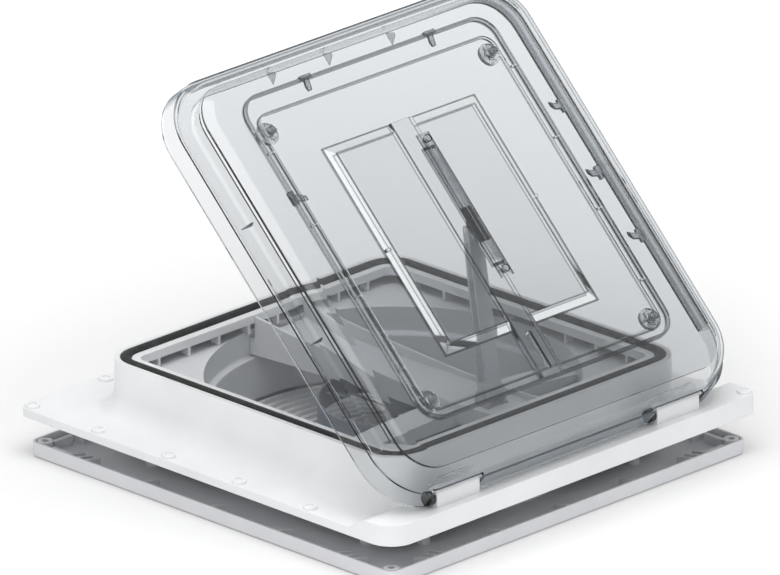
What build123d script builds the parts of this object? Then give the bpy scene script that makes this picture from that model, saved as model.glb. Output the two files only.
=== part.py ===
# Caravan roof vent: a clear double-skinned lid hinged on a square curb, with a clamping
# ceiling frame below, a bridge across the round throat, a lift arm in a rail and a fan.
# Millimetres. X runs along the hinge, +Y to the lid's free side, +Z up to the sky.
# The origin is the middle of the ceiling frame, at the level of its lowest face.

import os
from math import asin, cos, degrees, hypot, pi, radians, sin, tan

from build123d import *

os.makedirs("parts", exist_ok=True)

# Roof and clearances
roof_cutout = 400.0          # side of the square hole that the vent goes into
roof_gap = 28.0              # room for the roof panel between the two frames
cutout_clearance = 2.0       # spigot to the edge of the hole, each side
seat_clearance = 0.3         # parts that meet but aren't joined
pin_clearance = 0.05         # radial play of a pin that turns
overrun = 1.0                # how far a cutting body runs past a face
edge_round = 1.0             # general softening of moulded edges

# Ceiling frame
tray_overlap = 54.0          # how far the ceiling frame covers the ceiling, each side
tray_height = 16.0
tray_wall = 2.5
tray_corner = 9.0
tray_chamfer = 2.0
tray_lip_width = 6.0         # ledge inside the throat that carries the grille
corner_boss_inset = 11.0
corner_boss_radius = 8.0
corner_hole_radius = 3.5
gusset_pitch = 94.0
gusset_length = 20.0
gusset_drop = 4.0
gusset_thickness = 2.5
gusset_pair_gap = 11.0
locating_bar_length = 26.0
locating_bar_width = 5.0

# Roof frame: flange, hinge bar, curb and spigot
flange_overlap = 62.0        # how far the roof frame covers the roof, each side
flange_thickness = 8.5
flange_corner = 12.0
front_corner = 28.0          # corner at the left end of the hinge side
spigot_corner = 28.0
bar_height = 21.5            # hinge side, measured from the underside of the flange
bar_depth = 34.0
bar_ramp = 30.0
bar_cavity_wall = 3.5
bar_rib_pitch = 58.0
sealant_groove_width = 14.0
sealant_groove_depth = 1.2
curb_offset = -6.0           # the curb stands this far from the middle, towards the hinge
curb_inset = 19.0            # inner edge of the curb, inside the edge of the hole
curb_inner_radius = 10.0
curb_ledge_width = 9.0
curb_ledge_drop = 2.0
seal_width = 12.0
seal_groove_depth = 3.5
curb_lip_width = 5.0
curb_draft = 1.6
flare_radius = 19.5
curb_wall = 3.0
rim_thickness = 4.0
skirt_drop = 11.0            # foot of the curb's inner face, below the curb's top
spigot_wall = 3.0
spigot_bottom = 20.0

# Rim seal
seal_rise = 2.0              # crown of the seal above the curb's outer lip
seal_inner_drop = 1.6

# Vent slots under the ledge
slot_pitch = 42.5
slot_post_width = 3.0
slot_post_depth = 11.0
posts_each_side = 8

# Throat liner
shelf_drop = 21.0            # below the curb's top
liner_wall = 2.5
well_overhang = 8.0          # the round well reaches this far under the ledge
well_depth = 27.0
well_floor_round = 1.8
well_step = 7.0              # width of the step at the foot of the well
throat_bottom = 14.0
liner_leg_width = 6.0
liner_leg_length = 30.0

# Bridge, centred on the lift mechanism
bridge_x = 20.0
bridge_width = 68.0
bridge_wall = 3.0
bridge_seam_drop = 28.0       # top of the trough, below the curb's top
bridge_end_depth = 18.0      # trough at its ends
bridge_mid_depth = 12.0      # trough in the middle
bridge_deck = 2.5
bridge_end_rise = 24.0       # cover above the trough: free end, middle and low part
bridge_mid_rise = 11.0
bridge_low_rise = 7.0
branch_y = -84.0             # cross branch, measured from the middle of the curb
branch_width = 34.0
branch_depth = 17.0
branch_top_drop = 1.0

# Screw caps on the flange
cap_radius = 7.5
cap_height = 3.0
cap_dimple_radius = 4.0
cap_dimple_depth = 0.9
cap_stem_radius = 2.2
cap_stem_length = 6.0
cap_inset = 10.0
cap_pitch = 99.0
cap_side_start = 158.0       # first cap on the long sides, measured from the middle
cap_corner_inset = 10.2      # corner caps, from both edges of the flange

# Clamp screws between the two frames
clamp_near = 150.0           # place along a side, from the middle of the curb
clamp_inset = 5.0            # boss centre inside the spigot
clamp_boss_radius = 6.5
clamp_screw_radius = 2.0
clamp_head_radius = 4.3
clamp_head_height = 2.6
clamp_screw_length = 40.0

# Hinge
hinge_inset = 6.5            # axis behind the rim of the lid
hinge_rise = 5.5             # axis above the plane of the rim
hinge_swing_clearance = 0.5
hinge_x = 157.0
hinge_cover_length = 60.0
hinge_cover_front = 8.5
hinge_cover_back = 9.0
hinge_cover_rise = 9.9
hinge_cover_round = 5.5
hinge_cover_end = 4.0
hinge_pin_radius = 2.5
hinge_knuckle_radius = 5.5
hinge_pin_head_radius = 7.5
hinge_pin_head_length = 7.0
hinge_leaf_thickness = 2.5

# Lid, in its own frame: v from the hinge rim to the free rim, t out from the plane of the rim
lid_open_angle = 45.0
lid_side_margin = 15.4       # rim of the lid to the edge of the flange
lid_setback = 12.5
lid_free_margin = 20.8
lid_corner = 62.0
lid_skirt_height = 22.0
lid_skirt_draft = 6.0
lid_step = 3.6
lid_height = 54.0
skin_gap = 6.7               # clear height between the two skins
lid_body_draft = 15.0
lid_shoulder_radius = 27.0
lid_wall = 3.0
notch_height = 18.5
panel_wall = 3.0
border_rib_side = 68.6       # rib to the rim, at the sides, the hinge end and the free end
border_rib_low_v = 66.0
border_rib_free = 44.7
border_rib_corner = 26.0
border_rib_width = 3.0
border_rib_height = 4.5
second_rib_gap = 10.0
second_rib_free = 65.7
second_rib_height = 2.4
pan_half_width = 108.0
pan_low_v = 126.0
pan_free = 120.7
pan_bevel = 10.0
pan_rise = 4.2
pan_rib_width = 1.2
pan_rib_height = 0.8          # above the sheet and above the pan
pan_bridge_width = 3.0
channel_half_width = 15.0
channel_low_v = 68.0
channel_rise = 5.2
channel_slot_width = 5.0
channel_slot_length = 44.0
peg_side = 89.1
peg_low_v = 89.0
peg_free = 85.7
peg_radius = 4.5
peg_star_radius = 10.0
peg_star_points = 8
peg_star_thickness = 2.2
peg_cup_radius = 12.0
peg_cup_height = 4.0
panel_border = 22.0          # edge of the inner skin to the rim, in plan
fin_pitch = 85.0
fin_thickness = 2.0

# Lift mechanism
arm_pivot_y = -116.0         # from the middle of the curb
arm_pivot_rise = 12.0         # above the trough of the bridge
arm_length = 172.0
rail_line = 26.98            # pin line above the hinge axis, square to the lid
rail_wander = 0.12           # the pin stands this far above that line with the lid open
arm_hub_radius = 8.0
arm_tip_radius = 3.6
arm_width = 19.0
arm_web = 4.0
arm_rim = 2.6
arm_pin_radius = 4.0
slider_pin_radius = 2.0
slider_length = 40.0
slider_neck_width = 8.0
slider_head_width = 14.0
slider_head_height = 1.5
rail_before = 48.2           # rail below and above the slider's open place
rail_after = 91.8
rail_width = 18.0
rail_lip = 1.2
rail_web = 1.2
rail_height = 4.6
rail_tab_length = 14.0
rail_screw_radius = 1.8
rail_screw_head_radius = 3.4
rail_stop_thickness = 3.0
lug_thickness = 4.0
lug_round = 8.5
gearbox_half_width = 20.0
gearbox_half_length = 18.0
crank_shaft_radius = 3.5
crank_socket_depth = 7.5
crank_knob_radius = 17.0
crank_knob_height = 10.0
crank_knob_flutes = 8
crank_knob_flute_radius = 4.0

# Fan
fan_drop = 23.0              # rotor below the middle of the bridge
fan_radius = 84.0
fan_hub_radius = 20.0
fan_hub_height = 16.0
fan_blades = 7
fan_blade_chord = 34.0
fan_blade_thickness = 2.0
fan_blade_pitch = 28.0
fan_tip_clearance = 3.0
shroud_wall = 2.5
shroud_height = 26.0
shroud_leg_width = 10.0
motor_radius = 22.0
motor_shaft_radius = 2.5

# Ceiling grille
grille_ring_width = 5.0
grille_pitch = 12.0
grille_ring_height = 5.0
grille_rings = 9
grille_spokes = 8
grille_spoke_width = 4.0
grille_rim_width = 4.5
grille_rim_height = 9.0
grille_spoke_height = 3.0
knob_ring_width = 2.5

# Levels and places that follow from the sizes above
tray_side = roof_cutout + 2 * tray_overlap
flange_side = roof_cutout + 2 * flange_overlap
flange_bottom = tray_height + roof_gap
flange_top = flange_bottom + flange_thickness
bar_top = flange_bottom + bar_height
spigot_half = roof_cutout / 2 - cutout_clearance
spigot_inner_half = spigot_half - spigot_wall
curb_inner_half = roof_cutout / 2 - curb_inset
seal_inner = curb_inner_half + curb_ledge_width
seal_outer = seal_inner + seal_width
curb_outer = seal_outer + curb_lip_width
curb_wall_inner = curb_outer - curb_wall
lid_half_width = flange_side / 2 - lid_side_margin
lid_length = flange_side - lid_setback - lid_free_margin
hinge_swing = hypot(hinge_inset, hinge_rise)
hinge_y = lid_setback + hinge_inset - flange_side / 2
hinge_z = bar_top + hinge_swing + hinge_swing_clearance
rim_closed_z = hinge_z - hinge_rise
lid_ceiling = lid_height - lid_wall                       # underside of the outer skin, in t
panel_top = lid_ceiling - skin_gap
panel_level = panel_top - panel_wall                      # underside of the inner skin, in t
seal_top = rim_closed_z + panel_level - seat_clearance
curb_top = seal_top - seal_rise
ledge_level = curb_top - curb_ledge_drop
seal_seat = curb_top - seal_groove_depth
rim_under = ledge_level - rim_thickness
skirt_bottom = curb_top - skirt_drop
shelf_level = curb_top - shelf_drop
well_floor = shelf_level - well_depth
well_radius = curb_inner_half + well_overhang
throat_radius = well_radius - well_step
tray_opening_radius = throat_radius - tray_lip_width
well_wall_radius = well_radius + liner_wall
bridge_seam = curb_top - bridge_seam_drop
bridge_end_bottom = bridge_seam - bridge_end_depth
bridge_mid_bottom = bridge_seam - bridge_mid_depth
bridge_end_top = bridge_seam + bridge_end_rise
bridge_mid_top = bridge_seam + bridge_mid_rise
bridge_low_top = bridge_seam + bridge_low_rise
branch_bottom = bridge_seam - branch_depth
branch_top = bridge_seam - branch_top_drop
fan_level = bridge_mid_bottom - fan_drop
bridge_left = bridge_x - bridge_width / 2
pivot_y = curb_offset + arm_pivot_y
arm_pivot_z = bridge_seam + arm_pivot_rise
lid_cos = cos(radians(lid_open_angle))
lid_sin = sin(radians(lid_open_angle))
pivot_below = (pivot_y - hinge_y) * lid_sin - (arm_pivot_z - hinge_z) * lid_cos    # square to the open lid
arm_rest_angle = lid_open_angle + degrees(asin((pivot_below + rail_line + rail_wander) / arm_length))
tip_y = pivot_y + arm_length * cos(radians(arm_rest_angle)) - hinge_y              # arm's tip from the hinge
tip_z = arm_pivot_z + arm_length * sin(radians(arm_rest_angle)) - hinge_z
slider_rest_v = hinge_inset + tip_y * lid_cos + tip_z * lid_sin
pin_level = hinge_rise + rail_line + rail_wander                                   # slider pin, in t
rail_low_v = slider_rest_v - rail_before
rail_high_v = slider_rest_v + rail_after


def lid_plane(level):
    """Plane of the open lid at the height t = level, with its origin at v = 0."""
    tilt = radians(lid_open_angle)
    back = -hinge_inset
    up = level - hinge_rise
    return Plane(
        origin=(0, hinge_y + back * cos(tilt) - up * sin(tilt), hinge_z + back * sin(tilt) + up * cos(tilt)),
        x_dir=(1, 0, 0),
        z_dir=(0, -sin(tilt), cos(tilt)),
    )


def lid_side_plane(x):
    """Plane square to the hinge at x, with v to the right and t up."""
    tilt = radians(lid_open_angle)
    base = lid_plane(0)
    return Plane(
        origin=(x, base.origin.Y, base.origin.Z),
        x_dir=(0, cos(tilt), sin(tilt)),
        z_dir=(1, 0, 0),
    )


def arm_plane(x):
    """Plane square to the hinge at x, with its origin on the arm's pivot and its x along the arm."""
    angle = radians(arm_rest_angle)
    return Plane(
        origin=(x, curb_offset + arm_pivot_y, arm_pivot_z),
        x_dir=(0, cos(angle), sin(angle)),
        z_dir=(1, 0, 0),
    )


def side_plane(x):
    """Plane square to the hinge at x, with Y to the right and Z up."""
    return Plane(origin=(x, 0, 0), x_dir=(0, 1, 0), z_dir=(1, 0, 0))


def hinge_plane(x):
    """Plane square to the hinge at x, with its origin on the hinge axis, Y to the right and Z up."""
    return Plane(origin=(x, hinge_y, hinge_z), x_dir=(0, 1, 0), z_dir=(1, 0, 0))


def finish(solid, name):
    """Labels a finished piece and writes it."""
    solid.label = name
    export_step(solid, f"parts/{name}.step")


def around_curb(profile):
    """Sweeps a closed profile, drawn as distance out from the curb's middle and height, round the curb."""
    straight = curb_inner_half - curb_inner_radius
    with BuildLine() as path:
        run = Line((curb_inner_half, curb_offset), (curb_inner_half, curb_offset + straight))
        for length in (2 * straight, 2 * straight, 2 * straight, straight):
            corner = JernArc(run @ 1, run % 1, curb_inner_radius, 90)
            run = PolarLine(corner @ 1, length, direction=corner % 1)
    with BuildPart() as ring:
        sweep(sections=profile.faces(), path=path.wires()[0])
    return ring.part


# Ceiling frame
tray_floor = tray_wall
corner_boss_place = tray_side / 2 - corner_boss_inset
clamp_far = spigot_inner_half - clamp_inset
clamp_places = [
    (sx * x, curb_offset + sy * y)
    for x, y in ((clamp_far, clamp_near), (clamp_near, clamp_far))
    for sx in (-1, 1)
    for sy in (-1, 1)
]
gusset_foot = tray_side / 2 - tray_wall
gusset_count = int((tray_side / 2 - 2 * corner_boss_inset) // gusset_pitch)
gusset_row = [k * gusset_pitch for k in range(-gusset_count, gusset_count + 1)]
gusset_row += [
    sign * (gusset_count * gusset_pitch + n * gusset_pair_gap) for sign in (-1, 1) for n in (-1, 1)
]
bar_place = corner_boss_place - corner_boss_radius - locating_bar_length / 2 - tray_wall

with BuildPart() as gusset:
    with BuildSketch(Plane.XZ) as gusset_side:
        Polygon(
            (gusset_foot, tray_floor),
            (gusset_foot - gusset_length, tray_floor),
            (gusset_foot - gusset_length, tray_height - gusset_drop),
            (gusset_foot, tray_height),
            align=None,
        )
    extrude(amount=gusset_thickness / 2, both=True)

with BuildPart() as interior_frame:
    with BuildSketch() as tray_outline:
        RectangleRounded(tray_side, tray_side, tray_corner)
    extrude(amount=tray_height)
    chamfer(interior_frame.faces().sort_by(Axis.Z)[0].edges(), tray_chamfer)
    with BuildSketch(Plane.XY.offset(tray_floor)) as tray_room:
        RectangleRounded(tray_side - 2 * tray_wall, tray_side - 2 * tray_wall, tray_corner - tray_wall)
    extrude(amount=tray_height, mode=Mode.SUBTRACT)
    with BuildSketch(Plane.XY.offset(tray_floor)) as tray_bosses:
        with GridLocations(2 * corner_boss_place, 2 * corner_boss_place, 2, 2):
            Circle(corner_boss_radius)
    extrude(amount=tray_height - tray_floor)
    with BuildSketch(Plane.XY.offset(tray_floor)) as clamp_bosses:
        with Locations(*clamp_places):
            Circle(clamp_boss_radius)
    extrude(amount=tray_height - tray_floor)
    with BuildSketch(Plane.XY.offset(tray_floor)) as locating_bars:
        with Locations((bar_place, -corner_boss_place), (-bar_place, corner_boss_place)):
            Rectangle(locating_bar_length, locating_bar_width)
        with Locations((corner_boss_place, -bar_place), (-corner_boss_place, bar_place)):
            Rectangle(locating_bar_width, locating_bar_length)
    extrude(amount=tray_height - gusset_drop - tray_floor)
    with Locations(
        *[
            Location(Plane.XY.rotated((0, 0, 90 * turn)).offset(0)) * Location((0, place, 0))
            for turn in range(4)
            for place in gusset_row
        ]
    ):
        add(gusset.part)
    with BuildSketch(Plane((0, curb_offset, 0))) as collar_outline:
        Circle(throat_radius + liner_wall + seat_clearance + tray_wall)
    extrude(amount=tray_height)
    with BuildSketch(Plane((0, curb_offset, tray_floor))) as collar_bore:
        Circle(throat_radius + liner_wall + seat_clearance)
    extrude(amount=tray_height, mode=Mode.SUBTRACT)
    with BuildSketch() as tray_holes:
        with Locations((0, curb_offset)):
            Circle(tray_opening_radius)
        with GridLocations(2 * corner_boss_place, 2 * corner_boss_place, 2, 2):
            Circle(corner_hole_radius)
        with Locations(*clamp_places):
            Circle(clamp_screw_radius + seat_clearance)
    extrude(amount=tray_height, mode=Mode.SUBTRACT)
    with BuildSketch() as clamp_recesses:
        with Locations(*clamp_places):
            Circle(clamp_head_radius + seat_clearance)
    extrude(amount=clamp_head_height + seat_clearance, mode=Mode.SUBTRACT)
finish(interior_frame.part, "interior_frame")


# Ceiling grille, with a round window for the crank knob
grille_outer = tray_opening_radius + grille_rim_width
grille_first = tray_opening_radius - grille_pitch / 2
grille_disc_radius = grille_first - grille_rings * grille_pitch
knob_window = crank_knob_radius + knob_ring_width
grille_top = tray_floor + grille_rim_height

with BuildPart() as ceiling_grille:
    with BuildSketch(Plane((0, curb_offset, tray_floor))) as grille_rim:
        Circle(grille_outer)
        Circle(grille_outer - grille_rim_width, mode=Mode.SUBTRACT)
    extrude(amount=grille_rim_height)
    with BuildSketch(Plane((0, curb_offset, tray_floor + grille_spoke_height))) as grille_ring_plan:
        for n in range(grille_rings):
            Circle(grille_first - n * grille_pitch)
            Circle(grille_first - n * grille_pitch - grille_ring_width, mode=Mode.SUBTRACT)
        Circle(grille_disc_radius)
    extrude(amount=grille_ring_height)
    with BuildSketch(Plane((0, curb_offset, tray_floor))) as grille_spoke_plan:
        with PolarLocations(grille_outer / 2, grille_spokes, start_angle=180 / grille_spokes):
            Rectangle(grille_outer - grille_rim_width, grille_spoke_width)
        Circle(grille_disc_radius)
    extrude(amount=grille_spoke_height)
    with BuildSketch(Plane((bridge_x, pivot_y, tray_floor))) as knob_ring:
        Circle(knob_window + knob_ring_width)
    extrude(amount=grille_spoke_height + grille_ring_height)
    with BuildSketch(Plane((bridge_x, pivot_y, 0))) as knob_hole:
        Circle(knob_window)
    extrude(amount=grille_top, mode=Mode.SUBTRACT)
finish(ceiling_grille.part, "ceiling_grille")


# Roof frame: flange with a raised hinge bar, curb with a seal groove, spigot with screw bosses
screw_edge = flange_side / 2 - cap_inset
cap_side_y = [cap_side_start - n * cap_pitch for n in range(4)]
cap_row_x = [(n - 1.5) * cap_pitch for n in range(4)]
cap_corner = flange_side / 2 - cap_corner_inset
flange_caps = [(sx * screw_edge, y) for sx in (-1, 1) for y in cap_side_y]
flange_caps += [(x, screw_edge) for x in cap_row_x]
flange_caps += [(sx * cap_corner, cap_corner) for sx in (-1, 1)]
bar_caps = [(cap_corner, -cap_corner)]
flare_foot = curb_outer + curb_draft + flare_radius
groove_inner = 2 * (spigot_half - curb_offset + sealant_groove_width)
groove_outer = groove_inner + 2 * sealant_groove_width
bar_rooms = posts_each_side

with BuildSketch(Plane.XZ.offset(-curb_offset)) as curb_profile:
    with BuildLine() as curb_line:
        Polyline(
            (flare_foot, flange_top),
            (flare_foot, flange_top - curb_wall),
            (curb_wall_inner, flange_top - curb_wall),
            (curb_wall_inner, rim_under),
            (curb_inner_half + curb_wall, rim_under),
            (curb_inner_half + curb_wall, skirt_bottom),
            (curb_inner_half, skirt_bottom),
            (curb_inner_half, ledge_level),
            (seal_inner, ledge_level),
            (seal_inner, seal_seat),
            (seal_outer, seal_seat),
            (seal_outer, curb_top),
            (curb_outer, curb_top),
            (curb_outer + curb_draft, flange_top + flare_radius),
        )
        CenterArc((flare_foot, flange_top + flare_radius), flare_radius, 180, 90)
    make_face()

curb_ring = around_curb(curb_profile.sketch)

with BuildPart() as flange_plate:
    with BuildSketch(Plane.XY.offset(flange_bottom)) as flange_outline:
        Rectangle(flange_side, flange_side)
        across = Axis((0, 0, 0), (1, 1, 0))
        fillet(flange_outline.vertices().sort_by(across)[1:], flange_corner)
        fillet(flange_outline.vertices().group_by(Axis.Y)[0].sort_by(Axis.X)[0], front_corner)
    extrude(amount=bar_height)
    edge = flange_side / 2 + overrun
    with BuildSketch(side_plane(-edge)) as above_flange:
        with BuildLine():
            Polyline(
                (edge, bar_top + overrun),
                (edge, flange_top),
                (bar_depth + bar_ramp - flange_side / 2, flange_top),
            )
            Spline(
                (bar_depth + bar_ramp - flange_side / 2, flange_top),
                (bar_depth - flange_side / 2, bar_top),
                tangents=[(-1, 0), (-1, 0)],
            )
            Polyline(
                (bar_depth - flange_side / 2, bar_top),
                (bar_depth - flange_side / 2, bar_top + overrun),
                (edge, bar_top + overrun),
            )
        make_face()
    extrude(amount=2 * edge, mode=Mode.SUBTRACT)

with BuildPart() as outer_frame:
    add(flange_plate.part)
    add(curb_ring)
    with BuildSketch(Plane.XY.offset(spigot_bottom)) as spigot_outline:
        with Locations((0, curb_offset)):
            RectangleRounded(2 * spigot_half, 2 * spigot_half, spigot_corner)
    extrude(amount=flange_bottom - spigot_bottom)
    with BuildSketch(Plane.XY.offset(spigot_bottom)) as spigot_room:
        with Locations((0, curb_offset)):
            RectangleRounded(2 * spigot_inner_half, 2 * spigot_inner_half, spigot_corner - spigot_wall)
    extrude(amount=bar_top - spigot_bottom, mode=Mode.SUBTRACT)
    with BuildSketch(Plane.XY.offset(flange_top)) as curb_room:
        with Locations((0, curb_offset)):
            RectangleRounded(
                2 * curb_wall_inner,
                2 * curb_wall_inner,
                curb_inner_radius + curb_wall_inner - curb_inner_half,
            )
    extrude(amount=bar_height, mode=Mode.SUBTRACT)
    with BuildSketch(Plane.XY.offset(spigot_bottom + seat_clearance)) as frame_bosses:
        with Locations(*clamp_places):
            Circle(clamp_boss_radius)
            Circle(clamp_screw_radius + pin_clearance, mode=Mode.SUBTRACT)
    extrude(amount=flange_top - spigot_bottom - seat_clearance)
    with BuildSketch(Plane.XY.offset(shelf_level + seat_clearance)) as slot_posts:
        with Locations((0, curb_offset)):
            with PolarLocations(curb_inner_half + slot_post_depth / 2, 4):
                with GridLocations(slot_post_depth, slot_pitch, 1, posts_each_side):
                    Rectangle(slot_post_depth, slot_post_width)
    extrude(amount=skirt_bottom - shelf_level - seat_clearance)
    with BuildSketch(Plane.XY.offset(flange_bottom)) as sealant_groove:
        RectangleRounded(groove_outer, groove_outer, spigot_corner / 2)
        RectangleRounded(groove_inner, groove_inner, spigot_corner / 4, mode=Mode.SUBTRACT)
    extrude(amount=sealant_groove_depth, mode=Mode.SUBTRACT)
    with BuildSketch(Plane.XY.offset(flange_bottom)) as bar_cavities:
        with Locations((0, (bar_depth - flange_side) / 2)):
            with GridLocations(bar_rib_pitch, bar_depth, bar_rooms, 1):
                Rectangle(bar_rib_pitch - bar_cavity_wall, bar_depth - 2 * bar_cavity_wall)
    extrude(amount=bar_height - bar_cavity_wall, mode=Mode.SUBTRACT)
    with BuildSketch(Plane.XY.offset(flange_bottom)) as cap_holes:
        with Locations(*flange_caps, *bar_caps):
            Circle(cap_stem_radius + seat_clearance)
    extrude(amount=bar_height, mode=Mode.SUBTRACT)
finish(outer_frame.part, "outer_frame")


# Rim seal, a domed strip in the groove of the curb
seal_edge = curb_top - seal_inner_drop
with BuildSketch(Plane.XZ.offset(-curb_offset)) as seal_profile:
    with BuildLine():
        Polyline(
            (seal_outer - seat_clearance, seal_edge),
            (seal_outer - seat_clearance, seal_seat),
            (seal_inner + seat_clearance, seal_seat),
            (seal_inner + seat_clearance, seal_edge),
        )
        ThreePointArc(
            (seal_inner + seat_clearance, seal_edge),
            ((seal_inner + seal_outer) / 2, seal_top),
            (seal_outer - seat_clearance, seal_edge),
        )
    make_face()
rim_seal = around_curb(seal_profile.sketch)
finish(rim_seal, "rim_seal")


# Screw caps, pressed over the fixing holes in the flange
with BuildPart() as cap:
    with BuildSketch() as cap_disc:
        Circle(cap_radius)
    extrude(amount=cap_height)
    fillet(cap.edges().sort_by(Axis.Z)[-1], edge_round)
    with BuildSketch(Plane.XY.offset(cap_height - cap_dimple_depth)) as cap_dimple:
        Circle(cap_dimple_radius)
    extrude(amount=cap_dimple_depth, mode=Mode.SUBTRACT)
    with BuildSketch() as cap_stem:
        Circle(cap_stem_radius)
    extrude(amount=-cap_stem_length)

with BuildPart() as screw_caps:
    with Locations(*[(x, y, flange_top) for x, y in flange_caps], *[(x, y, bar_top) for x, y in bar_caps]):
        add(cap.part)
finish(screw_caps.part, "screw_caps")


# Clamp screws, driven up from the ceiling side into the roof frame
with BuildPart() as clamp_screw:
    with BuildSketch(Plane.XY.offset(seat_clearance)) as clamp_head:
        Circle(clamp_head_radius)
    extrude(amount=clamp_head_height)
    with BuildSketch(Plane.XY.offset(seat_clearance)) as clamp_shank:
        Circle(clamp_screw_radius)
    extrude(amount=clamp_screw_length)

with BuildPart() as clamp_screws:
    with Locations(*clamp_places):
        add(clamp_screw.part)
finish(clamp_screws.part, "clamp_screws")


# Throat liner: corner shelf, round well with a step, and the throat down to the ceiling frame
liner_half = curb_wall_inner - seat_clearance
liner_corner = curb_inner_radius + liner_half - curb_inner_half
step_under = well_floor - liner_wall
leg_place = (spigot_inner_half + curb_wall_inner) / 2

with BuildPart() as throat_liner:
    with BuildSketch(Plane.XY.offset(shelf_level - liner_wall)) as shelf:
        with Locations((0, curb_offset)):
            RectangleRounded(2 * liner_half, 2 * liner_half, liner_corner)
            Circle(well_radius + liner_wall / 2, mode=Mode.SUBTRACT)
    extrude(amount=liner_wall)
    with BuildSketch(Plane.XY.offset(flange_top + seat_clearance)) as liner_legs:
        with Locations((0, curb_offset)):
            with PolarLocations(leg_place, 4):
                with GridLocations(liner_leg_width, 2 * clamp_near, 1, 2):
                    Rectangle(liner_leg_width, liner_leg_length)
    extrude(amount=shelf_level - liner_wall - flange_top - seat_clearance)
    with BuildSketch(Plane.XZ.offset(-curb_offset)) as liner_profile:
        Polygon(
            (well_radius, shelf_level),
            (well_radius, well_floor),
            (throat_radius, well_floor),
            (throat_radius, throat_bottom),
            (throat_radius + liner_wall, throat_bottom),
            (throat_radius + liner_wall, step_under),
            (well_wall_radius, step_under),
            (well_wall_radius, shelf_level),
            align=None,
        )
        corners = liner_profile.vertices().group_by(Axis.Y)
        fillet(corners[-2].sort_by(Axis.X)[-1], well_floor_round)
        fillet(liner_profile.vertices().filter_by_position(Axis.X, throat_radius - edge_round, throat_radius
               + edge_round).sort_by(Axis.Y)[-1], 2 * edge_round)
    revolve(axis=Axis((0, curb_offset, 0), (0, 0, 1)))
finish(throat_liner.part, "throat_liner")


# Bridge body: an arched trough across the well, with a cross branch
bridge_reach = well_radius - seat_clearance
beam_reach = bridge_reach + overrun
branch_front = curb_offset + branch_y
shaft_hole = crank_shaft_radius + liner_wall

with BuildPart() as bridge_body:
    with BuildSketch(side_plane(bridge_left)) as beam_side:
        with BuildLine():
            ThreePointArc(
                (curb_offset - beam_reach, bridge_end_bottom),
                (curb_offset, bridge_mid_bottom),
                (curb_offset + beam_reach, bridge_end_bottom),
            )
            Polyline(
                (curb_offset + beam_reach, bridge_end_bottom),
                (curb_offset + beam_reach, bridge_seam),
                (curb_offset - beam_reach, bridge_seam),
                (curb_offset - beam_reach, bridge_end_bottom),
            )
        make_face()
    extrude(amount=bridge_width)
    with BuildSketch(Plane.XZ.offset(-branch_front - branch_width / 2)) as branch_side:
        with BuildLine():
            Line((-beam_reach, branch_bottom), (beam_reach, branch_bottom))
            Line((beam_reach, branch_bottom), (beam_reach, branch_bottom + bridge_wall))
            ThreePointArc(
                (beam_reach, branch_bottom + bridge_wall),
                (0, branch_top),
                (-beam_reach, branch_bottom + bridge_wall),
            )
            Line((-beam_reach, branch_bottom + bridge_wall), (-beam_reach, branch_bottom))
        make_face()
    extrude(amount=branch_width)
    with BuildSketch(Plane((0, curb_offset, 0))) as well_outline:
        Circle(bridge_reach)
    extrude(amount=bridge_seam, mode=Mode.INTERSECT)
    with BuildSketch(side_plane(bridge_left + bridge_wall)) as beam_room:
        with BuildLine():
            ThreePointArc(
                (curb_offset - beam_reach, bridge_end_bottom + bridge_wall),
                (curb_offset, bridge_mid_bottom + bridge_wall),
                (curb_offset + beam_reach, bridge_end_bottom + bridge_wall),
            )
            Polyline(
                (curb_offset + beam_reach, bridge_end_bottom + bridge_wall),
                (curb_offset + beam_reach, bridge_seam + overrun),
                (curb_offset - beam_reach, bridge_seam + overrun),
                (curb_offset - beam_reach, bridge_end_bottom + bridge_wall),
            )
        make_face()
    extrude(amount=bridge_width - 2 * bridge_wall, mode=Mode.SUBTRACT)
    with BuildSketch(Plane((bridge_x, pivot_y, bridge_end_bottom))) as shaft_way:
        Circle(shaft_hole)
    extrude(amount=bridge_seam - bridge_end_bottom, mode=Mode.SUBTRACT)
finish(bridge_body.part, "bridge_body")


# Bridge cover: a deck with two curved side walls, open round the arm's lugs
cover_reach = curb_inner_half - seat_clearance
lug_window_x = arm_width + 2 * (lug_thickness + 2 * seat_clearance + edge_round)
lug_window_y = 2 * (lug_round + bridge_wall)

with BuildPart() as bridge_cover:
    with BuildSketch(side_plane(bridge_left)) as cover_side:
        with BuildLine():
            Spline(
                (curb_offset + cover_reach, bridge_end_top),
                (curb_offset + cover_reach * 0.62, (bridge_end_top + bridge_mid_top) / 2),
                (curb_offset + cover_reach * 0.1, bridge_mid_top),
                (curb_offset - cover_reach * 0.5, bridge_low_top),
                (curb_offset - cover_reach, bridge_mid_top),
            )
            Polyline(
                (curb_offset - cover_reach, bridge_mid_top),
                (curb_offset - cover_reach, bridge_seam),
                (curb_offset + cover_reach, bridge_seam),
                (curb_offset + cover_reach, bridge_end_top),
            )
        make_face()
    extrude(amount=bridge_width)
    with BuildSketch(Plane.XY.offset(bridge_seam + bridge_deck)) as cover_room:
        with Locations((bridge_x, curb_offset)):
            Rectangle(bridge_width - 2 * bridge_wall, 2 * cover_reach + overrun)
    extrude(amount=bridge_end_top - bridge_seam, mode=Mode.SUBTRACT)
    with BuildSketch(Plane.XY.offset(bridge_seam)) as lug_window:
        with Locations((bridge_x, pivot_y)):
            Rectangle(lug_window_x, lug_window_y)
    extrude(amount=bridge_deck, mode=Mode.SUBTRACT)
finish(bridge_cover.part, "bridge_cover")


# Lift gearbox with the two lugs that carry the arm, and the pivot pin
gearbox_base = bridge_mid_bottom + bridge_wall + seat_clearance
gearbox_top = bridge_seam - seat_clearance
lug_inner = arm_width / 2 + seat_clearance

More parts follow.
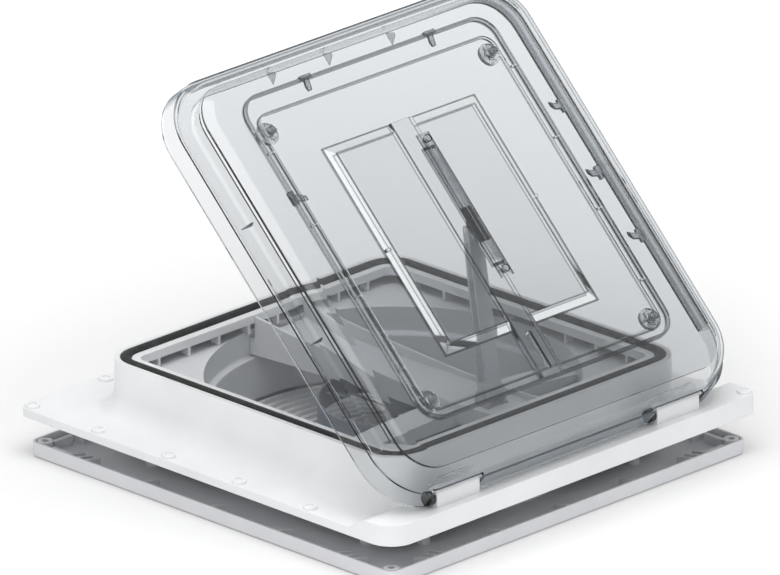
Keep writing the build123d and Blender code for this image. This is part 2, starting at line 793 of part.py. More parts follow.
with BuildPart() as lift_gearbox:
    with BuildSketch(Plane.XY.offset(gearbox_base)) as gearbox_plan:
        with Locations((bridge_x, pivot_y)):
            RectangleRounded(2 * gearbox_half_width, 2 * gearbox_half_length, 2 * edge_round)
    extrude(amount=gearbox_top - gearbox_base)
    for lug_x in (bridge_x - lug_inner - lug_thickness, bridge_x + lug_inner):
        with BuildSketch(side_plane(lug_x)) as lug:
            with Locations((pivot_y, arm_pivot_z)):
                Circle(lug_round)
            with Locations((pivot_y, gearbox_top)):
                Rectangle(2 * lug_round, edge_round)
            make_hull()
            with Locations((pivot_y, arm_pivot_z)):
                Circle(arm_pin_radius + pin_clearance, mode=Mode.SUBTRACT)
        extrude(amount=lug_thickness)
    with BuildSketch(Plane((bridge_x, pivot_y, gearbox_base))) as crank_socket:
        Circle(crank_shaft_radius + pin_clearance)
    extrude(amount=crank_socket_depth, mode=Mode.SUBTRACT)
finish(lift_gearbox.part, "lift_gearbox")

pivot_half = lug_inner + lug_thickness
with BuildPart() as arm_pivot_pin:
    with BuildSketch(side_plane(bridge_x - pivot_half - edge_round)) as pivot_pin_round:
        with Locations((pivot_y, arm_pivot_z)):
            Circle(arm_pin_radius)
    extrude(amount=2 * (pivot_half + edge_round))
    with BuildSketch(side_plane(bridge_x + pivot_half + seat_clearance)) as pivot_pin_head:
        with Locations((pivot_y, arm_pivot_z)):
            Circle(arm_pin_radius + 2 * edge_round)
    extrude(amount=2 * edge_round)
finish(arm_pivot_pin.part, "arm_pivot_pin")


# Lift arm, in its open pose: a webbed lever with a hub and a forked tip
arm_pocket_depth = (arm_width - arm_web) / 2
with BuildPart() as lift_arm:
    with BuildSketch(arm_plane(bridge_x - arm_width / 2)) as arm_side:
        Circle(arm_hub_radius)
        with Locations((arm_length, 0)):
            Circle(arm_tip_radius)
        make_hull()
        Circle(arm_pin_radius + pin_clearance, mode=Mode.SUBTRACT)
        with Locations((arm_length, 0)):
            Circle(slider_pin_radius + pin_clearance, mode=Mode.SUBTRACT)
    extrude(amount=arm_width)
    pocket_start = arm_hub_radius * 1.6
    pocket_end = arm_length - 4 * arm_tip_radius
    for side in (-1, 1):
        with BuildSketch(arm_plane(bridge_x + side * arm_width / 2)) as arm_pocket:
            Polygon(
                (pocket_start, arm_rim - arm_hub_radius),
                (pocket_end, arm_rim - arm_tip_radius - edge_round),
                (pocket_end, arm_tip_radius + edge_round - arm_rim),
                (pocket_start, arm_hub_radius - arm_rim),
                align=None,
            )
        extrude(amount=-side * arm_pocket_depth, mode=Mode.SUBTRACT)
    with BuildSketch(arm_plane(bridge_x - slider_neck_width / 2 - seat_clearance)) as fork_slot:
        with Locations((arm_length, 0)):
            Rectangle(6 * arm_tip_radius, 3 * arm_tip_radius)
    extrude(amount=slider_neck_width + 2 * seat_clearance, mode=Mode.SUBTRACT)
finish(lift_arm.part, "lift_arm")

with BuildPart() as slider_pin:
    with BuildSketch(arm_plane(bridge_x - arm_width / 2)) as slider_pin_round:
        with Locations((arm_length, 0)):
            Circle(slider_pin_radius)
    extrude(amount=arm_width)
finish(slider_pin.part, "slider_pin")


# Rail under the lid, its end stops and screws, and the slider that runs in it
rail_base = panel_level - rail_height
rail_middle = (rail_low_v + rail_high_v) / 2
rail_length = rail_high_v - rail_low_v
rail_cavity_width = slider_head_width + 2 * seat_clearance
rail_cavity_height = rail_height - rail_lip - rail_web
rail_screw_v = [rail_low_v - rail_tab_length / 2, rail_high_v + rail_tab_length / 2]

with BuildPart() as lid_rail:
    with BuildSketch(lid_plane(rail_base)) as rail_outline:
        with Locations((bridge_x, rail_middle)):
            Rectangle(rail_width, rail_length)
    extrude(amount=rail_height)
    with BuildSketch(lid_plane(panel_level - rail_web)) as rail_tabs:
        with Locations(*[(bridge_x, v) for v in rail_screw_v]):
            Rectangle(rail_width, rail_tab_length + edge_round)
    extrude(amount=rail_web)
    with BuildSketch(lid_plane(rail_base + rail_lip)) as rail_cavity:
        with Locations((bridge_x, rail_middle)):
            Rectangle(rail_cavity_width, rail_length)
    extrude(amount=rail_cavity_height, mode=Mode.SUBTRACT)
    with BuildSketch(lid_plane(rail_base)) as rail_slot:
        with Locations((bridge_x, rail_middle)):
            Rectangle(slider_neck_width + 2 * seat_clearance, rail_length)
    extrude(amount=rail_lip, mode=Mode.SUBTRACT)
    with BuildSketch(lid_plane(panel_level - rail_web)) as rail_holes:
        with Locations(*[(bridge_x, v) for v in rail_screw_v]):
            Circle(rail_screw_radius + pin_clearance)
    extrude(amount=rail_web, mode=Mode.SUBTRACT)
finish(lid_rail.part, "lid_rail")

with BuildPart() as rail_stops:
    with BuildSketch(lid_plane(rail_base + rail_lip)) as stop_plan:
        stop_shift = (rail_length - rail_stop_thickness) / 2
        with Locations(*[(bridge_x, rail_middle + sign * stop_shift) for sign in (-1, 1)]):
            Rectangle(rail_cavity_width - seat_clearance, rail_stop_thickness)
    extrude(amount=rail_cavity_height - seat_clearance / 2)
finish(rail_stops.part, "rail_stops")

rail_nut_height = 2 * rail_screw_radius
with BuildPart() as rail_screws:
    with BuildSketch(lid_plane(panel_level - rail_web - edge_round)) as rail_screw_heads:
        with Locations(*[(bridge_x, v) for v in rail_screw_v]):
            Circle(rail_screw_head_radius)
    extrude(amount=edge_round)
    with BuildSketch(lid_plane(panel_level - rail_web)) as rail_screw_shanks:
        with Locations(*[(bridge_x, v) for v in rail_screw_v]):
            Circle(rail_screw_radius)
    extrude(amount=rail_web + panel_wall)
    with BuildSketch(lid_plane(panel_top)) as rail_nuts:
        with Locations(*[(bridge_x, v) for v in rail_screw_v]):
            RegularPolygon(rail_screw_head_radius, 6)
    extrude(amount=rail_nut_height)
finish(rail_screws.part, "rail_screws")

slider_head_base = rail_base + rail_lip + (rail_cavity_height - slider_head_height) / 2 + rail_wander
lug_radius = slider_neck_width / 2
with BuildPart() as slider:
    with BuildSketch(lid_plane(slider_head_base)) as slider_head:
        with Locations((bridge_x, slider_rest_v)):
            RectangleRounded(slider_head_width, slider_length, edge_round)
    extrude(amount=slider_head_height)
    with BuildSketch(lid_side_plane(bridge_x - slider_neck_width / 2)) as slider_lug:
        with Locations((slider_rest_v, pin_level)):
            Circle(lug_radius)
        with Locations((slider_rest_v, slider_head_base)):
            Rectangle(4 * lug_radius, edge_round)
        make_hull()
        with Locations((slider_rest_v, pin_level)):
            Circle(slider_pin_radius + pin_clearance, mode=Mode.SUBTRACT)
    extrude(amount=slider_neck_width)
finish(slider.part, "slider")


# Lid outer skin: a stepped, drafted dome with room for the hinges
skirt_shift = lid_skirt_height * tan(radians(lid_skirt_draft)) + lid_step
lid_middle = lid_length / 2


def lid_body(inset):
    """Outer form of the lid, moved inwards by an inset."""
    upper_width = 2 * (lid_half_width - skirt_shift - inset)
    upper_length = lid_length - 2 * (skirt_shift + inset)
    upper_corner = lid_corner - skirt_shift - inset
    with BuildPart() as dome:
        with BuildSketch(Plane.XY.offset(lid_skirt_height)):
            RectangleRounded(upper_width, upper_length, upper_corner)
        extrude(amount=lid_height - lid_skirt_height - inset, taper=lid_body_draft)
        fillet(dome.faces().sort_by(Axis.Z)[-1].edges(), lid_shoulder_radius - inset)
    with BuildPart() as body:
        with BuildSketch():
            RectangleRounded(2 * (lid_half_width - inset), lid_length - 2 * inset, lid_corner - inset)
        extrude(amount=lid_skirt_height - inset, taper=lid_skirt_draft)
        with BuildSketch():
            RectangleRounded(upper_width, upper_length, upper_corner)
        extrude(amount=lid_skirt_height)
        add(dome.part)
    return body.part.moved(lid_plane(0).location * Location((0, lid_middle, 0)))


notch_room = 2 * seat_clearance + edge_round
notch_length = hinge_cover_length + hinge_pin_head_length + 2 * notch_room
notch_depth = hinge_inset + hinge_cover_back

lid_form = lid_body(0)
lid_room = lid_body(lid_wall)

with BuildPart() as lid_outer_shell:
    add(lid_form)
    add(lid_room, mode=Mode.SUBTRACT)
    with BuildSketch(lid_plane(0)) as hinge_notches:
        with Locations(*[(x - hinge_pin_head_length / 2, notch_depth / 2) for x in (-hinge_x, hinge_x)]):
            Rectangle(notch_length, notch_depth + 2 * overrun)
    extrude(amount=notch_height, mode=Mode.SUBTRACT)
finish(lid_outer_shell.part, "lid_outer_shell")


# Lid inner skin: a flat sheet over the seal, with ribs, a raised pan and a channel
peg_places = [
    (sx * (lid_half_width - peg_side), v) for sx in (-1, 1) for v in (peg_low_v, lid_length - peg_free)
]
border_width = 2 * (lid_half_width - border_rib_side)
border_high_v = lid_length - border_rib_free
second_width = border_width - 2 * second_rib_gap
second_low_v = border_rib_low_v + second_rib_gap
second_high_v = lid_length - second_rib_free
pan_high_v = lid_length - pan_free
fin_place = (border_width + second_width) / 4
fin_rows = int((border_high_v - border_rib_low_v) // fin_pitch)
rib_corner = border_rib_corner - second_rib_gap


def panel_frame(width, low_v, high_v, corner, height):
    """A rib that runs round the inner skin."""
    inner_height = high_v - low_v - 2 * border_rib_width
    with BuildPart() as frame:
        with BuildSketch(lid_plane(panel_top)) as rib:
            with Locations((0, (low_v + high_v) / 2)):
                RectangleRounded(width, high_v - low_v, corner)
                RectangleRounded(
                    width - 2 * border_rib_width, inner_height, corner - border_rib_width, mode=Mode.SUBTRACT
                )
        extrude(amount=height)
    return frame.part


border_rib = panel_frame(border_width, border_rib_low_v, border_high_v, border_rib_corner, border_rib_height)
second_rib = panel_frame(second_width, second_low_v, second_high_v, rib_corner, second_rib_height)


pan_middle = (pan_low_v + pan_high_v) / 2
pan_length = pan_high_v - pan_low_v

with BuildPart() as pan:
    for level, bevel in ((panel_top, 0), (panel_top + pan_rise, pan_bevel)):
        with BuildSketch(lid_plane(level)) as pan_outline:
            with Locations((0, pan_middle)):
                Rectangle(2 * (pan_half_width - bevel), pan_length - 2 * bevel)
    loft()

with BuildPart() as pan_ribs:
    for spread, top in ((0, panel_top + pan_rib_height), (pan_bevel, panel_top + pan_rise + pan_rib_height)):
        with BuildSketch(lid_plane(panel_top)) as pan_rib:
            with Locations((0, pan_middle)):
                Rectangle(
                    2 * (pan_half_width - spread) + pan_rib_width,
                    pan_length - 2 * spread + pan_rib_width,
                )
                Rectangle(
                    2 * (pan_half_width - spread) - pan_rib_width, pan_length - 2 * spread - pan_rib_width,
                    mode=Mode.SUBTRACT,
                )
        extrude(amount=top - panel_top)
    with BuildSketch(lid_plane(panel_top)) as pan_bridges:
        with Locations((0, pan_middle)):
            with GridLocations(2 * pan_half_width - pan_bevel, 0, 2, 1):
                Rectangle(pan_bevel, pan_bridge_width)
    extrude(amount=pan_rise)

with BuildPart() as lid_inner_panel:
    with BuildSketch(lid_plane(panel_level)) as panel_outline:
        with Locations((0, lid_middle)):
            RectangleRounded(
                2 * (lid_half_width - panel_border), lid_length - 2 * panel_border, lid_corner - panel_border
            )
    extrude(amount=panel_wall)
    add(border_rib)
    add(second_rib)
    add(pan.part)
    add(pan_ribs.part)
    with BuildSketch(lid_plane(panel_top)) as channel_plan:
        with Locations((0, (channel_low_v + pan_high_v) / 2)):
            Rectangle(2 * channel_half_width, pan_high_v - channel_low_v)
    extrude(amount=channel_rise)
    with BuildSketch(lid_plane(panel_top)) as channel_slot:
        with Locations((0, (channel_low_v + pan_low_v) / 2)):
            SlotOverall(channel_slot_length, channel_slot_width, rotation=90)
        with Locations(*[(bridge_x, v) for v in rail_screw_v]):
            Circle(rail_screw_head_radius + edge_round)
    extrude(amount=channel_rise, mode=Mode.SUBTRACT)
    with BuildSketch(lid_plane(panel_top)) as fin_plan:
        with Locations((0, (border_rib_low_v + border_high_v) / 2)):
            with GridLocations(2 * fin_place, fin_pitch, 2, fin_rows):
                Rectangle(second_rib_gap, fin_thickness)
    extrude(amount=border_rib_height)
    with BuildSketch(lid_plane(panel_top)) as peg_stars:
        with Locations(*peg_places):
            for turn in range(2):
                RegularPolygon(peg_star_radius, peg_star_points // 2, rotation=turn * 360 / peg_star_points)
    extrude(amount=peg_star_thickness)
    with BuildSketch(lid_plane(panel_level)) as panel_holes:
        with Locations(*peg_places):
            Circle(peg_radius + seat_clearance)
        with Locations(*[(bridge_x, v) for v in rail_screw_v]):
            Circle(rail_screw_radius + pin_clearance)
    extrude(amount=lid_height - panel_level, mode=Mode.SUBTRACT)
finish(lid_inner_panel.part, "lid_inner_panel")

with BuildPart() as skin_spacers:
    with BuildSketch(lid_plane(panel_level - peg_cup_height)) as peg_cups:
        with Locations(*peg_places):
            Circle(peg_cup_radius)
    extrude(amount=peg_cup_height)
    with BuildSketch(lid_plane(panel_level)) as peg_stems:
        with Locations(*peg_places):
            Circle(peg_radius)
    extrude(amount=lid_ceiling - panel_level)
finish(skin_spacers.part, "skin_spacers")


# Hinges: covers on the bar, leaves on the lid, and pins with black heads
cover_floor = bar_top - hinge_z
knuckle_room = hinge_knuckle_radius + 2 * seat_clearance
hinge_places = (-hinge_x, hinge_x)

with BuildPart() as hinge_covers:
    for x in hinge_places:
        with BuildSketch(hinge_plane(x - hinge_cover_length / 2)) as cover_section:
            with BuildLine():
                Polyline(
                    (-hinge_cover_front, cover_floor),
                    (hinge_cover_back, cover_floor),
                    (hinge_cover_back, -hinge_cover_round / 2),
                    (hinge_cover_round / 2, -hinge_cover_round / 2),
                    (hinge_cover_round / 2, hinge_cover_rise),
                    (-hinge_cover_front, hinge_cover_rise),
                    (-hinge_cover_front, cover_floor),
                )
            make_face()
            fillet(cover_section.vertices().group_by(Axis.Y)[-1].sort_by(Axis.X)[0], hinge_cover_round)
        extrude(amount=hinge_cover_length)
        with BuildSketch(hinge_plane(x - hinge_cover_length / 2 + hinge_cover_end)) as cover_cavity:
            Circle(knuckle_room)
        extrude(amount=hinge_cover_length - 2 * hinge_cover_end, mode=Mode.SUBTRACT)
        with BuildSketch(hinge_plane(x - hinge_cover_length / 2)) as cover_bore:
            Circle(hinge_pin_radius + pin_clearance)
        extrude(amount=hinge_cover_length, mode=Mode.SUBTRACT)
finish(hinge_covers.part, "hinge_covers")

with BuildPart() as hinge_pins:
    for x in hinge_places:
        with BuildSketch(hinge_plane(x - hinge_cover_length / 2)) as pin_section:
            Circle(hinge_pin_radius)
        extrude(amount=hinge_cover_length)
        with BuildSketch(hinge_plane(x - hinge_cover_length / 2)) as pin_head:
            Circle(hinge_pin_head_radius)
        extrude(amount=-hinge_pin_head_length)
finish(hinge_pins.part, "hinge_pins")

knuckle_length = hinge_cover_length - 2 * (hinge_cover_end + seat_clearance)
riser_back = hinge_inset + hinge_cover_back + edge_round
riser_face = riser_back + hinge_leaf_thickness
return_level = lid_skirt_height - lid_wall
return_top = return_level + hinge_leaf_thickness
return_foot = skirt_shift + lid_wall + edge_round / 10

with BuildPart() as hinge_leaves:
    for x in hinge_places:
        with BuildSketch(lid_side_plane(x - knuckle_length / 2)) as leaf_section:
            with Locations((hinge_inset, hinge_rise)):
                Circle(hinge_knuckle_radius)
            Polygon(
                (hinge_inset, hinge_rise - hinge_leaf_thickness / 2),
                (riser_face, hinge_rise - hinge_leaf_thickness / 2),
                (riser_face, return_top),
                (return_foot, return_top),
                (return_foot, return_level),
                (riser_back, return_level),
                (riser_back, hinge_rise + hinge_leaf_thickness / 2),
                (hinge_inset, hinge_rise + hinge_leaf_thickness / 2),
                align=None,
            )
            with Locations((hinge_inset, hinge_rise)):
                Circle(hinge_pin_radius + pin_clearance, mode=Mode.SUBTRACT)
        extrude(amount=knuckle_length)
finish(hinge_leaves.part, "hinge_leaves")


# Fan under the bridge: motor, shroud ring on legs, and the rotor
motor_top = bridge_mid_bottom - seat_clearance
rotor_top = fan_level + fan_hub_height / 2
shroud_inner = fan_radius + fan_tip_clearance
shaft_end = fan_level - fan_hub_height / 2 - 2 * edge_round

with BuildPart() as fan_motor:
    with BuildSketch(Plane((bridge_x, curb_offset, rotor_top + seat_clearance))) as motor_plan:
        Circle(motor_radius)
    extrude(amount=motor_top - rotor_top - seat_clearance)
    fillet(fan_motor.edges().group_by(Axis.Z)[0], 2 * edge_round)
    with BuildSketch(Plane((bridge_x, curb_offset, shaft_end))) as motor_shaft:
        Circle(motor_shaft_radius)
    extrude(amount=motor_top - fan_level)
finish(fan_motor.part, "fan_motor")

shroud_bottom = fan_level - shroud_height / 2
shroud_leg_depth = 2 * shroud_wall
leg_place_y = shroud_inner + shroud_leg_depth / 2
arch_share = ((leg_place_y + shroud_wall) / bridge_reach) ** 2
arch_at_leg = bridge_mid_bottom - (bridge_mid_bottom - bridge_end_bottom) * arch_share
with BuildPart() as fan_shroud:
    with BuildSketch(Plane((bridge_x, curb_offset, shroud_bottom))) as shroud_plan:
        Circle(shroud_inner + shroud_wall)
        Circle(shroud_inner, mode=Mode.SUBTRACT)
    extrude(amount=shroud_height)
    for leg_y, leg_top in ((leg_place_y, arch_at_leg), (-leg_place_y, branch_bottom)):
        with BuildSketch(Plane((bridge_x, curb_offset + leg_y, shroud_bottom))) as shroud_leg:
            Rectangle(shroud_leg_width, shroud_leg_depth)
        extrude(amount=leg_top - shroud_bottom)
finish(fan_shroud.part, "fan_shroud")

blade_root = fan_hub_radius - 2 * edge_round
with BuildPart() as fan_blade:
    with BuildSketch(Plane.YZ.offset(blade_root)) as blade_root_section:
        Rectangle(fan_blade_chord * 0.6, fan_blade_thickness, rotation=fan_blade_pitch)
    with BuildSketch(Plane.YZ.offset(fan_radius)) as blade_tip_section:
        Rectangle(fan_blade_chord, fan_blade_thickness, rotation=fan_blade_pitch * 0.7)
    loft()

with BuildPart() as fan_rotor:
    with BuildSketch(Plane((bridge_x, curb_offset, fan_level - fan_hub_height / 2))) as hub_plan:
        Circle(fan_hub_radius)
    extrude(amount=fan_hub_height)
    fillet(fan_rotor.edges().group_by(Axis.Z)[0], 2 * edge_round)
    with Locations((bridge_x, curb_offset, fan_level)):
        with PolarLocations(0, fan_blades):
            add(fan_blade.part)
    with BuildSketch(Plane((bridge_x, curb_offset, fan_level - fan_hub_height / 2))) as hub_bore:
        Circle(motor_shaft_radius + pin_clearance)
    extrude(amount=fan_hub_height, mode=Mode.SUBTRACT)
finish(fan_rotor.part, "fan_rotor")


# Crank: a shaft up to the gearbox and a fluted knob in the grille's window
knob_bottom = edge_round
shaft_top = gearbox_base + crank_socket_depth - seat_clearance
knob_socket = crank_knob_height / 2

with BuildPart() as crank_shaft:
    with BuildSketch(Plane((bridge_x, pivot_y, knob_bottom + knob_socket))) as crank_shaft_round:
        Circle(crank_shaft_radius)
    extrude(amount=shaft_top - knob_bottom - knob_socket)
finish(crank_shaft.part, "crank_shaft")

with BuildPart() as crank_knob:
    with BuildSketch(Plane((bridge_x, pivot_y, knob_bottom))) as knob_plan:
        Circle(crank_knob_radius)
        with PolarLocations(crank_knob_radius + edge_round, crank_knob_flutes):
            Circle(crank_knob_flute_radius, mode=Mode.SUBTRACT)
    extrude(amount=crank_knob_height)
    with BuildSketch(Plane((bridge_x, pivot_y, knob_bottom + knob_socket))) as knob_bore:
        Circle(crank_shaft_radius + pin_clearance)
    extrude(amount=crank_knob_height - knob_socket, mode=Mode.SUBTRACT)
finish(crank_knob.part, "crank_knob")
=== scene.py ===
"""A caravan roof vent with a clear domed lid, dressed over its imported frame."""

from math import cos, pi, radians, sin, tan

import bpy
from bpy.props import FloatProperty, FloatVectorProperty, IntProperty, PointerProperty
from bpy.types import Operator, Panel, PropertyGroup
from mathutils import Matrix, Vector


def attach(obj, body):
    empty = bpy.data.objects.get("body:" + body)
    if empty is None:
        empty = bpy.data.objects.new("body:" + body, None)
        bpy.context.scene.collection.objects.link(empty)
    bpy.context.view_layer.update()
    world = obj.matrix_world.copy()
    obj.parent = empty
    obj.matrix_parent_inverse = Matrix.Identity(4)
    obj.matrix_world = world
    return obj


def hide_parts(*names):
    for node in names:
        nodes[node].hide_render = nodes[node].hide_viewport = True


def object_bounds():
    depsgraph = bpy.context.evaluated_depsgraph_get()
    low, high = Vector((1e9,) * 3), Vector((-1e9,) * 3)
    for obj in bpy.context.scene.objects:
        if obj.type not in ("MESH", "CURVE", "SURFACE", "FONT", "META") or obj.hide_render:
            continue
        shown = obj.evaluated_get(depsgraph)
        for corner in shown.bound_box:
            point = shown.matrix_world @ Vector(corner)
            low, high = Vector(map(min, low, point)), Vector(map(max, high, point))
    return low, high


bl_info = {
    "name": "Caravan roof vent",
    "version": (1, 0, 0),
    "blender": (4, 5, 0),
    "location": "View3D > Sidebar > Roof vent",
    "description": "Finishes and fine pieces of a roof vent with a clear lid, and its studio",
    "category": "Object",
}

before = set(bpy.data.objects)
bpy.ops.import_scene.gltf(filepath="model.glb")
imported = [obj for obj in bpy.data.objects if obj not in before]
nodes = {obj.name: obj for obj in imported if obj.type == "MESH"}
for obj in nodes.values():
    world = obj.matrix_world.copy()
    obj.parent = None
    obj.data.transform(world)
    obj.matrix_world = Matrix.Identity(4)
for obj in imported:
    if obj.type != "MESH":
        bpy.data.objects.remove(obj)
cad_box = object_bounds()

# The lid is at rest when open. Its own axes are x along the hinge, v to the free end, t outward.
LID_OPEN = radians(45)
LID_TURN = cos(LID_OPEN)
LID_ORIGIN = (0.0, -0.243707, 0.06603)
LID_V = -1000 * LID_TURN * (LID_ORIGIN[1] + LID_ORIGIN[2])
LID_T = -1000 * LID_TURN * (LID_ORIGIN[2] - LID_ORIGIN[1])

# Outer skin in metres: its box, skirt, leaning side and hinge notches.
SMOOTH_ANGLE = radians(30)
SHELL_HALF = 0.2466
SHELL_LENGTH = 0.4907
SHELL_CORNER = 0.062
SHELL_CORNER_FACETS = 18
SHELL_HEIGHT = 0.0539
SHOULDER_FACETS = 10
SKIRT_TOP = 0.022
SKIRT_FOLD = 0.00231
SKIRT_STEP = 0.0036
BODY_DRAFT = radians(15)
NOTCH_X = 0.157
NOTCH_SHIFT = 0.0035
NOTCH_DEPTH = 0.0155

# Turned-down edge of the inner skin in metres: a flange that lies flat and a wall that stands.
EDGE_HALF = 0.2412
EDGE_LOW = 0.006
EDGE_HIGH = 0.4853
EDGE_CORNER = 0.058
EDGE_CORNER_FACETS = 10
EDGE_FLANGE = 0.0150
EDGE_FOOT = 0.020

# Lines on the inner skin in millimetres: half width, low v, high v and corner of each frame. Along
# them go lines of painted shade and a band of painted highlight.
PAN = (108.0, 126.0, 370.0, 0.0)
OUTER_RIB = (178.0, 66.0, 446.0, 26.0)
INNER_RIB = (168.0, 76.0, 425.0, 16.0)
PAN_BAND = 5.0
PAN_BAND_HALF = 2.4
CHANNEL_HALF = 15.0
CHANNEL_FOOT = 68.0
LINE_HALF = 0.6
OUTER_LINE_IN = 1.5
OUTER_LINE_HALF = 1.0
INNER_LINE_IN = 1.0

# Lines on the rail in millimetres: painted shade along its edges and slot, and a grey strip.
RAIL_X = 20.0
RAIL_EDGE = 8.4
SLOT_X = 18.5
SLOT_EDGE = 3.6
SLOT_LINE_HALF = 0.4
STRIP_X = 19.0
STRIP_HALF = 2.0
STRIP_LOW = 200.0
STRIP_HIGH = 340.0

# Small parts between the skins: x and v in millimetres, turn in degrees, and the level t.
CLIPS = [
    (-79.0, 446.0, 0.0), (97.0, 446.0, 0.0), (-178.0, 332.0, 90.0),
    (202.0, 328.0, -90.0), (198.0, 249.0, -90.0), (202.0, 173.0, -90.0),
]
FINS = [
    (-103.0, 463.0, 0.0), (-24.0, 462.0, 0.0), (64.0, 460.0, 0.0),
    (-231.0, 326.0, 90.0), (-231.0, 190.0, 90.0),
]
SPACERS = [(x, v, 0.0) for x in (-157.5, 157.5) for v in (89.0, 405.0)]
CLIP_LEVEL = 45.2
FIN_LEVEL = 31.0
SCREW_LEVEL = 41.6

# A clip's foot in millimetres, its neck and hook in metres, and the share left at each end.
CLIP_FOOT = (15, 5, 5)
CLIP_INSET = 0.0008
CLIP_NECK = (-0.002, -0.007, 0)
CLIP_HOOK = (-0.003, -0.006, 0.0025)
CLIP_NECK_SHARE = (0.5, 1, 1)
CLIP_TIP_SHARE = (0.7, 1, 0.7)
CLIP_ROUND = 0.0004

# A fin's box in millimetres, and the share of it that is left at the top.
FIN_BOX = (1.2, 15, 11)
FIN_TOP = (0.6, 0.2, 1)
FIN_ROUND = 0.0002

# A spacer's screw in metres: washer, shank and thread.
WASHER_HEIGHT = 0.0016
SHANK_INSET = 0.003
SHANK_HEIGHT = 0.0012
THREAD_RISE = 0.0006
THREAD_WIDENING = 1.35

# The clear plastics. The leaves and the rail bend light less, so that what is behind shows.
ACRYLIC_IOR = 1.34
LEAF_IOR = 1.03
RAIL_IOR = 1.12
FITTING_DENSITY = 0.5
THIN_DENSITY = 0.2
# Painted highlight: colour of the bright band on the inner skin and of the lit part of the inner
# skin's edge wall.
PAINTED_HIGHLIGHT = (0.99, 1.0, 1.0)
FITTING_COLOR = (0.93, 0.94, 0.95)
STRIP_COLOR = (0.42, 0.43, 0.47)
# Painted shade: grey mixed into the outer skin where it turns away.
SHELL_EDGE_SHADE = (0.22, 0.25, 0.28)
SHELL_EDGE_LOW = 0.64
SHELL_EDGE_HIGH = 0.84
SHELL_EDGE_SHARE = 0.85
# Painted shade on the right-hand part of the lower edge wall of the inner skin, and painted
# highlight on the rest of that lower wall.
EDGE_WALL_SHADE = (0.42, 0.44, 0.46)
PAINTED_WALL_TOP = 28.5
SHADE_FROM_X = 100.0
SHADE_TO_X = 180.0
CLIP_COLOR = (0.55, 0.58, 0.60)
CLIP_CLOUDS = (0.40, 0.43, 0.45)

# Camera axes and aim, floor and lamps in metres.
CAMERA_RIGHT = Vector((0.7009, -0.7133, 0.0))
CAMERA_BACK = Vector((-0.6651, -0.6536, 0.3612))
CAMERA_AIM = Vector((0.0152, 0.0126, 0.1715))
CAMERA_REACH = 80.0
FLOOR_SIZE = 14.0
FLOOR_GAP = 0.0004
FLOOR_GLOW = 0.08
FLOOR_GLOW_ADDED = 0.5
GLOW_NEAR = 0.42
GLOW_FAR = 1.3
LAMP_AIM = Vector((0, 0, 0.1))
KEY_PLACE = (-0.5, -0.5, 2.3)
KEY_SIZE = (2.4, 2.0)
FILL_PLACE = (-1.7, -1.7, 0.3)
FILL_SIZE = (2.6, 0.5)


def select_none():
    """Clears the selection and the active object."""
    bpy.ops.object.select_all(action="DESELECT")
    bpy.context.view_layer.objects.active = None


def pick(piece):
    """Selects one piece alone and makes it active."""
    select_none()
    piece.select_set(True)
    bpy.context.view_layer.objects.active = piece


def extrude(move):
    """Extrudes the selected faces along a move."""
    bpy.ops.mesh.extrude_region_move(TRANSFORM_OT_translate={"value": move})


def merged_copy(node, name, angle):
    """A copy of a CAD node with its loose triangles joined and its curved faces smoothed."""
    source = nodes[node]
    piece = source.copy()
    piece.data = source.data.copy()
    piece.name = name
    piece.data.name = name
    for key in list(piece.keys()):
        del piece[key]
    piece.parent = None
    bpy.context.scene.collection.objects.link(piece)
    piece.hide_render = False
    pick(piece)
    bpy.ops.object.mode_set(mode="EDIT")
    bpy.ops.mesh.customdata_custom_splitnormals_clear()
    bpy.ops.mesh.select_all(action="SELECT")
    bpy.ops.mesh.remove_doubles(threshold=0.00001)
    bpy.ops.object.mode_set(mode="OBJECT")
    bpy.ops.object.shade_smooth_by_angle(angle=radians(angle))
    select_none()
    return piece


class Socket:
    """A node's output, or a number, that builds its maths nodes from Python expressions."""

    def __init__(self, tree, link):
        self.tree = tree
        self.link = link

    def maths(self, operation, *values):
        return self.tree.node("ShaderNodeMath", {"operation": operation}, *values)

    def __add__(self, other):
        return self.maths("ADD", self, other)

    __radd__ = __add__

    def __sub__(self, other):
        return self.maths("SUBTRACT", self, other)

    def __rsub__(self, other):
        return self.maths("SUBTRACT", other, self)

    def __mul__(self, other):
        return self.maths("MULTIPLY", self, other)

    __rmul__ = __mul__

    def __abs__(self):
        return self.maths("ABSOLUTE", self)

    def least(self, other):
        return self.maths("MINIMUM", self, other)

    def most(self, other):
        return self.maths("MAXIMUM", self, other)


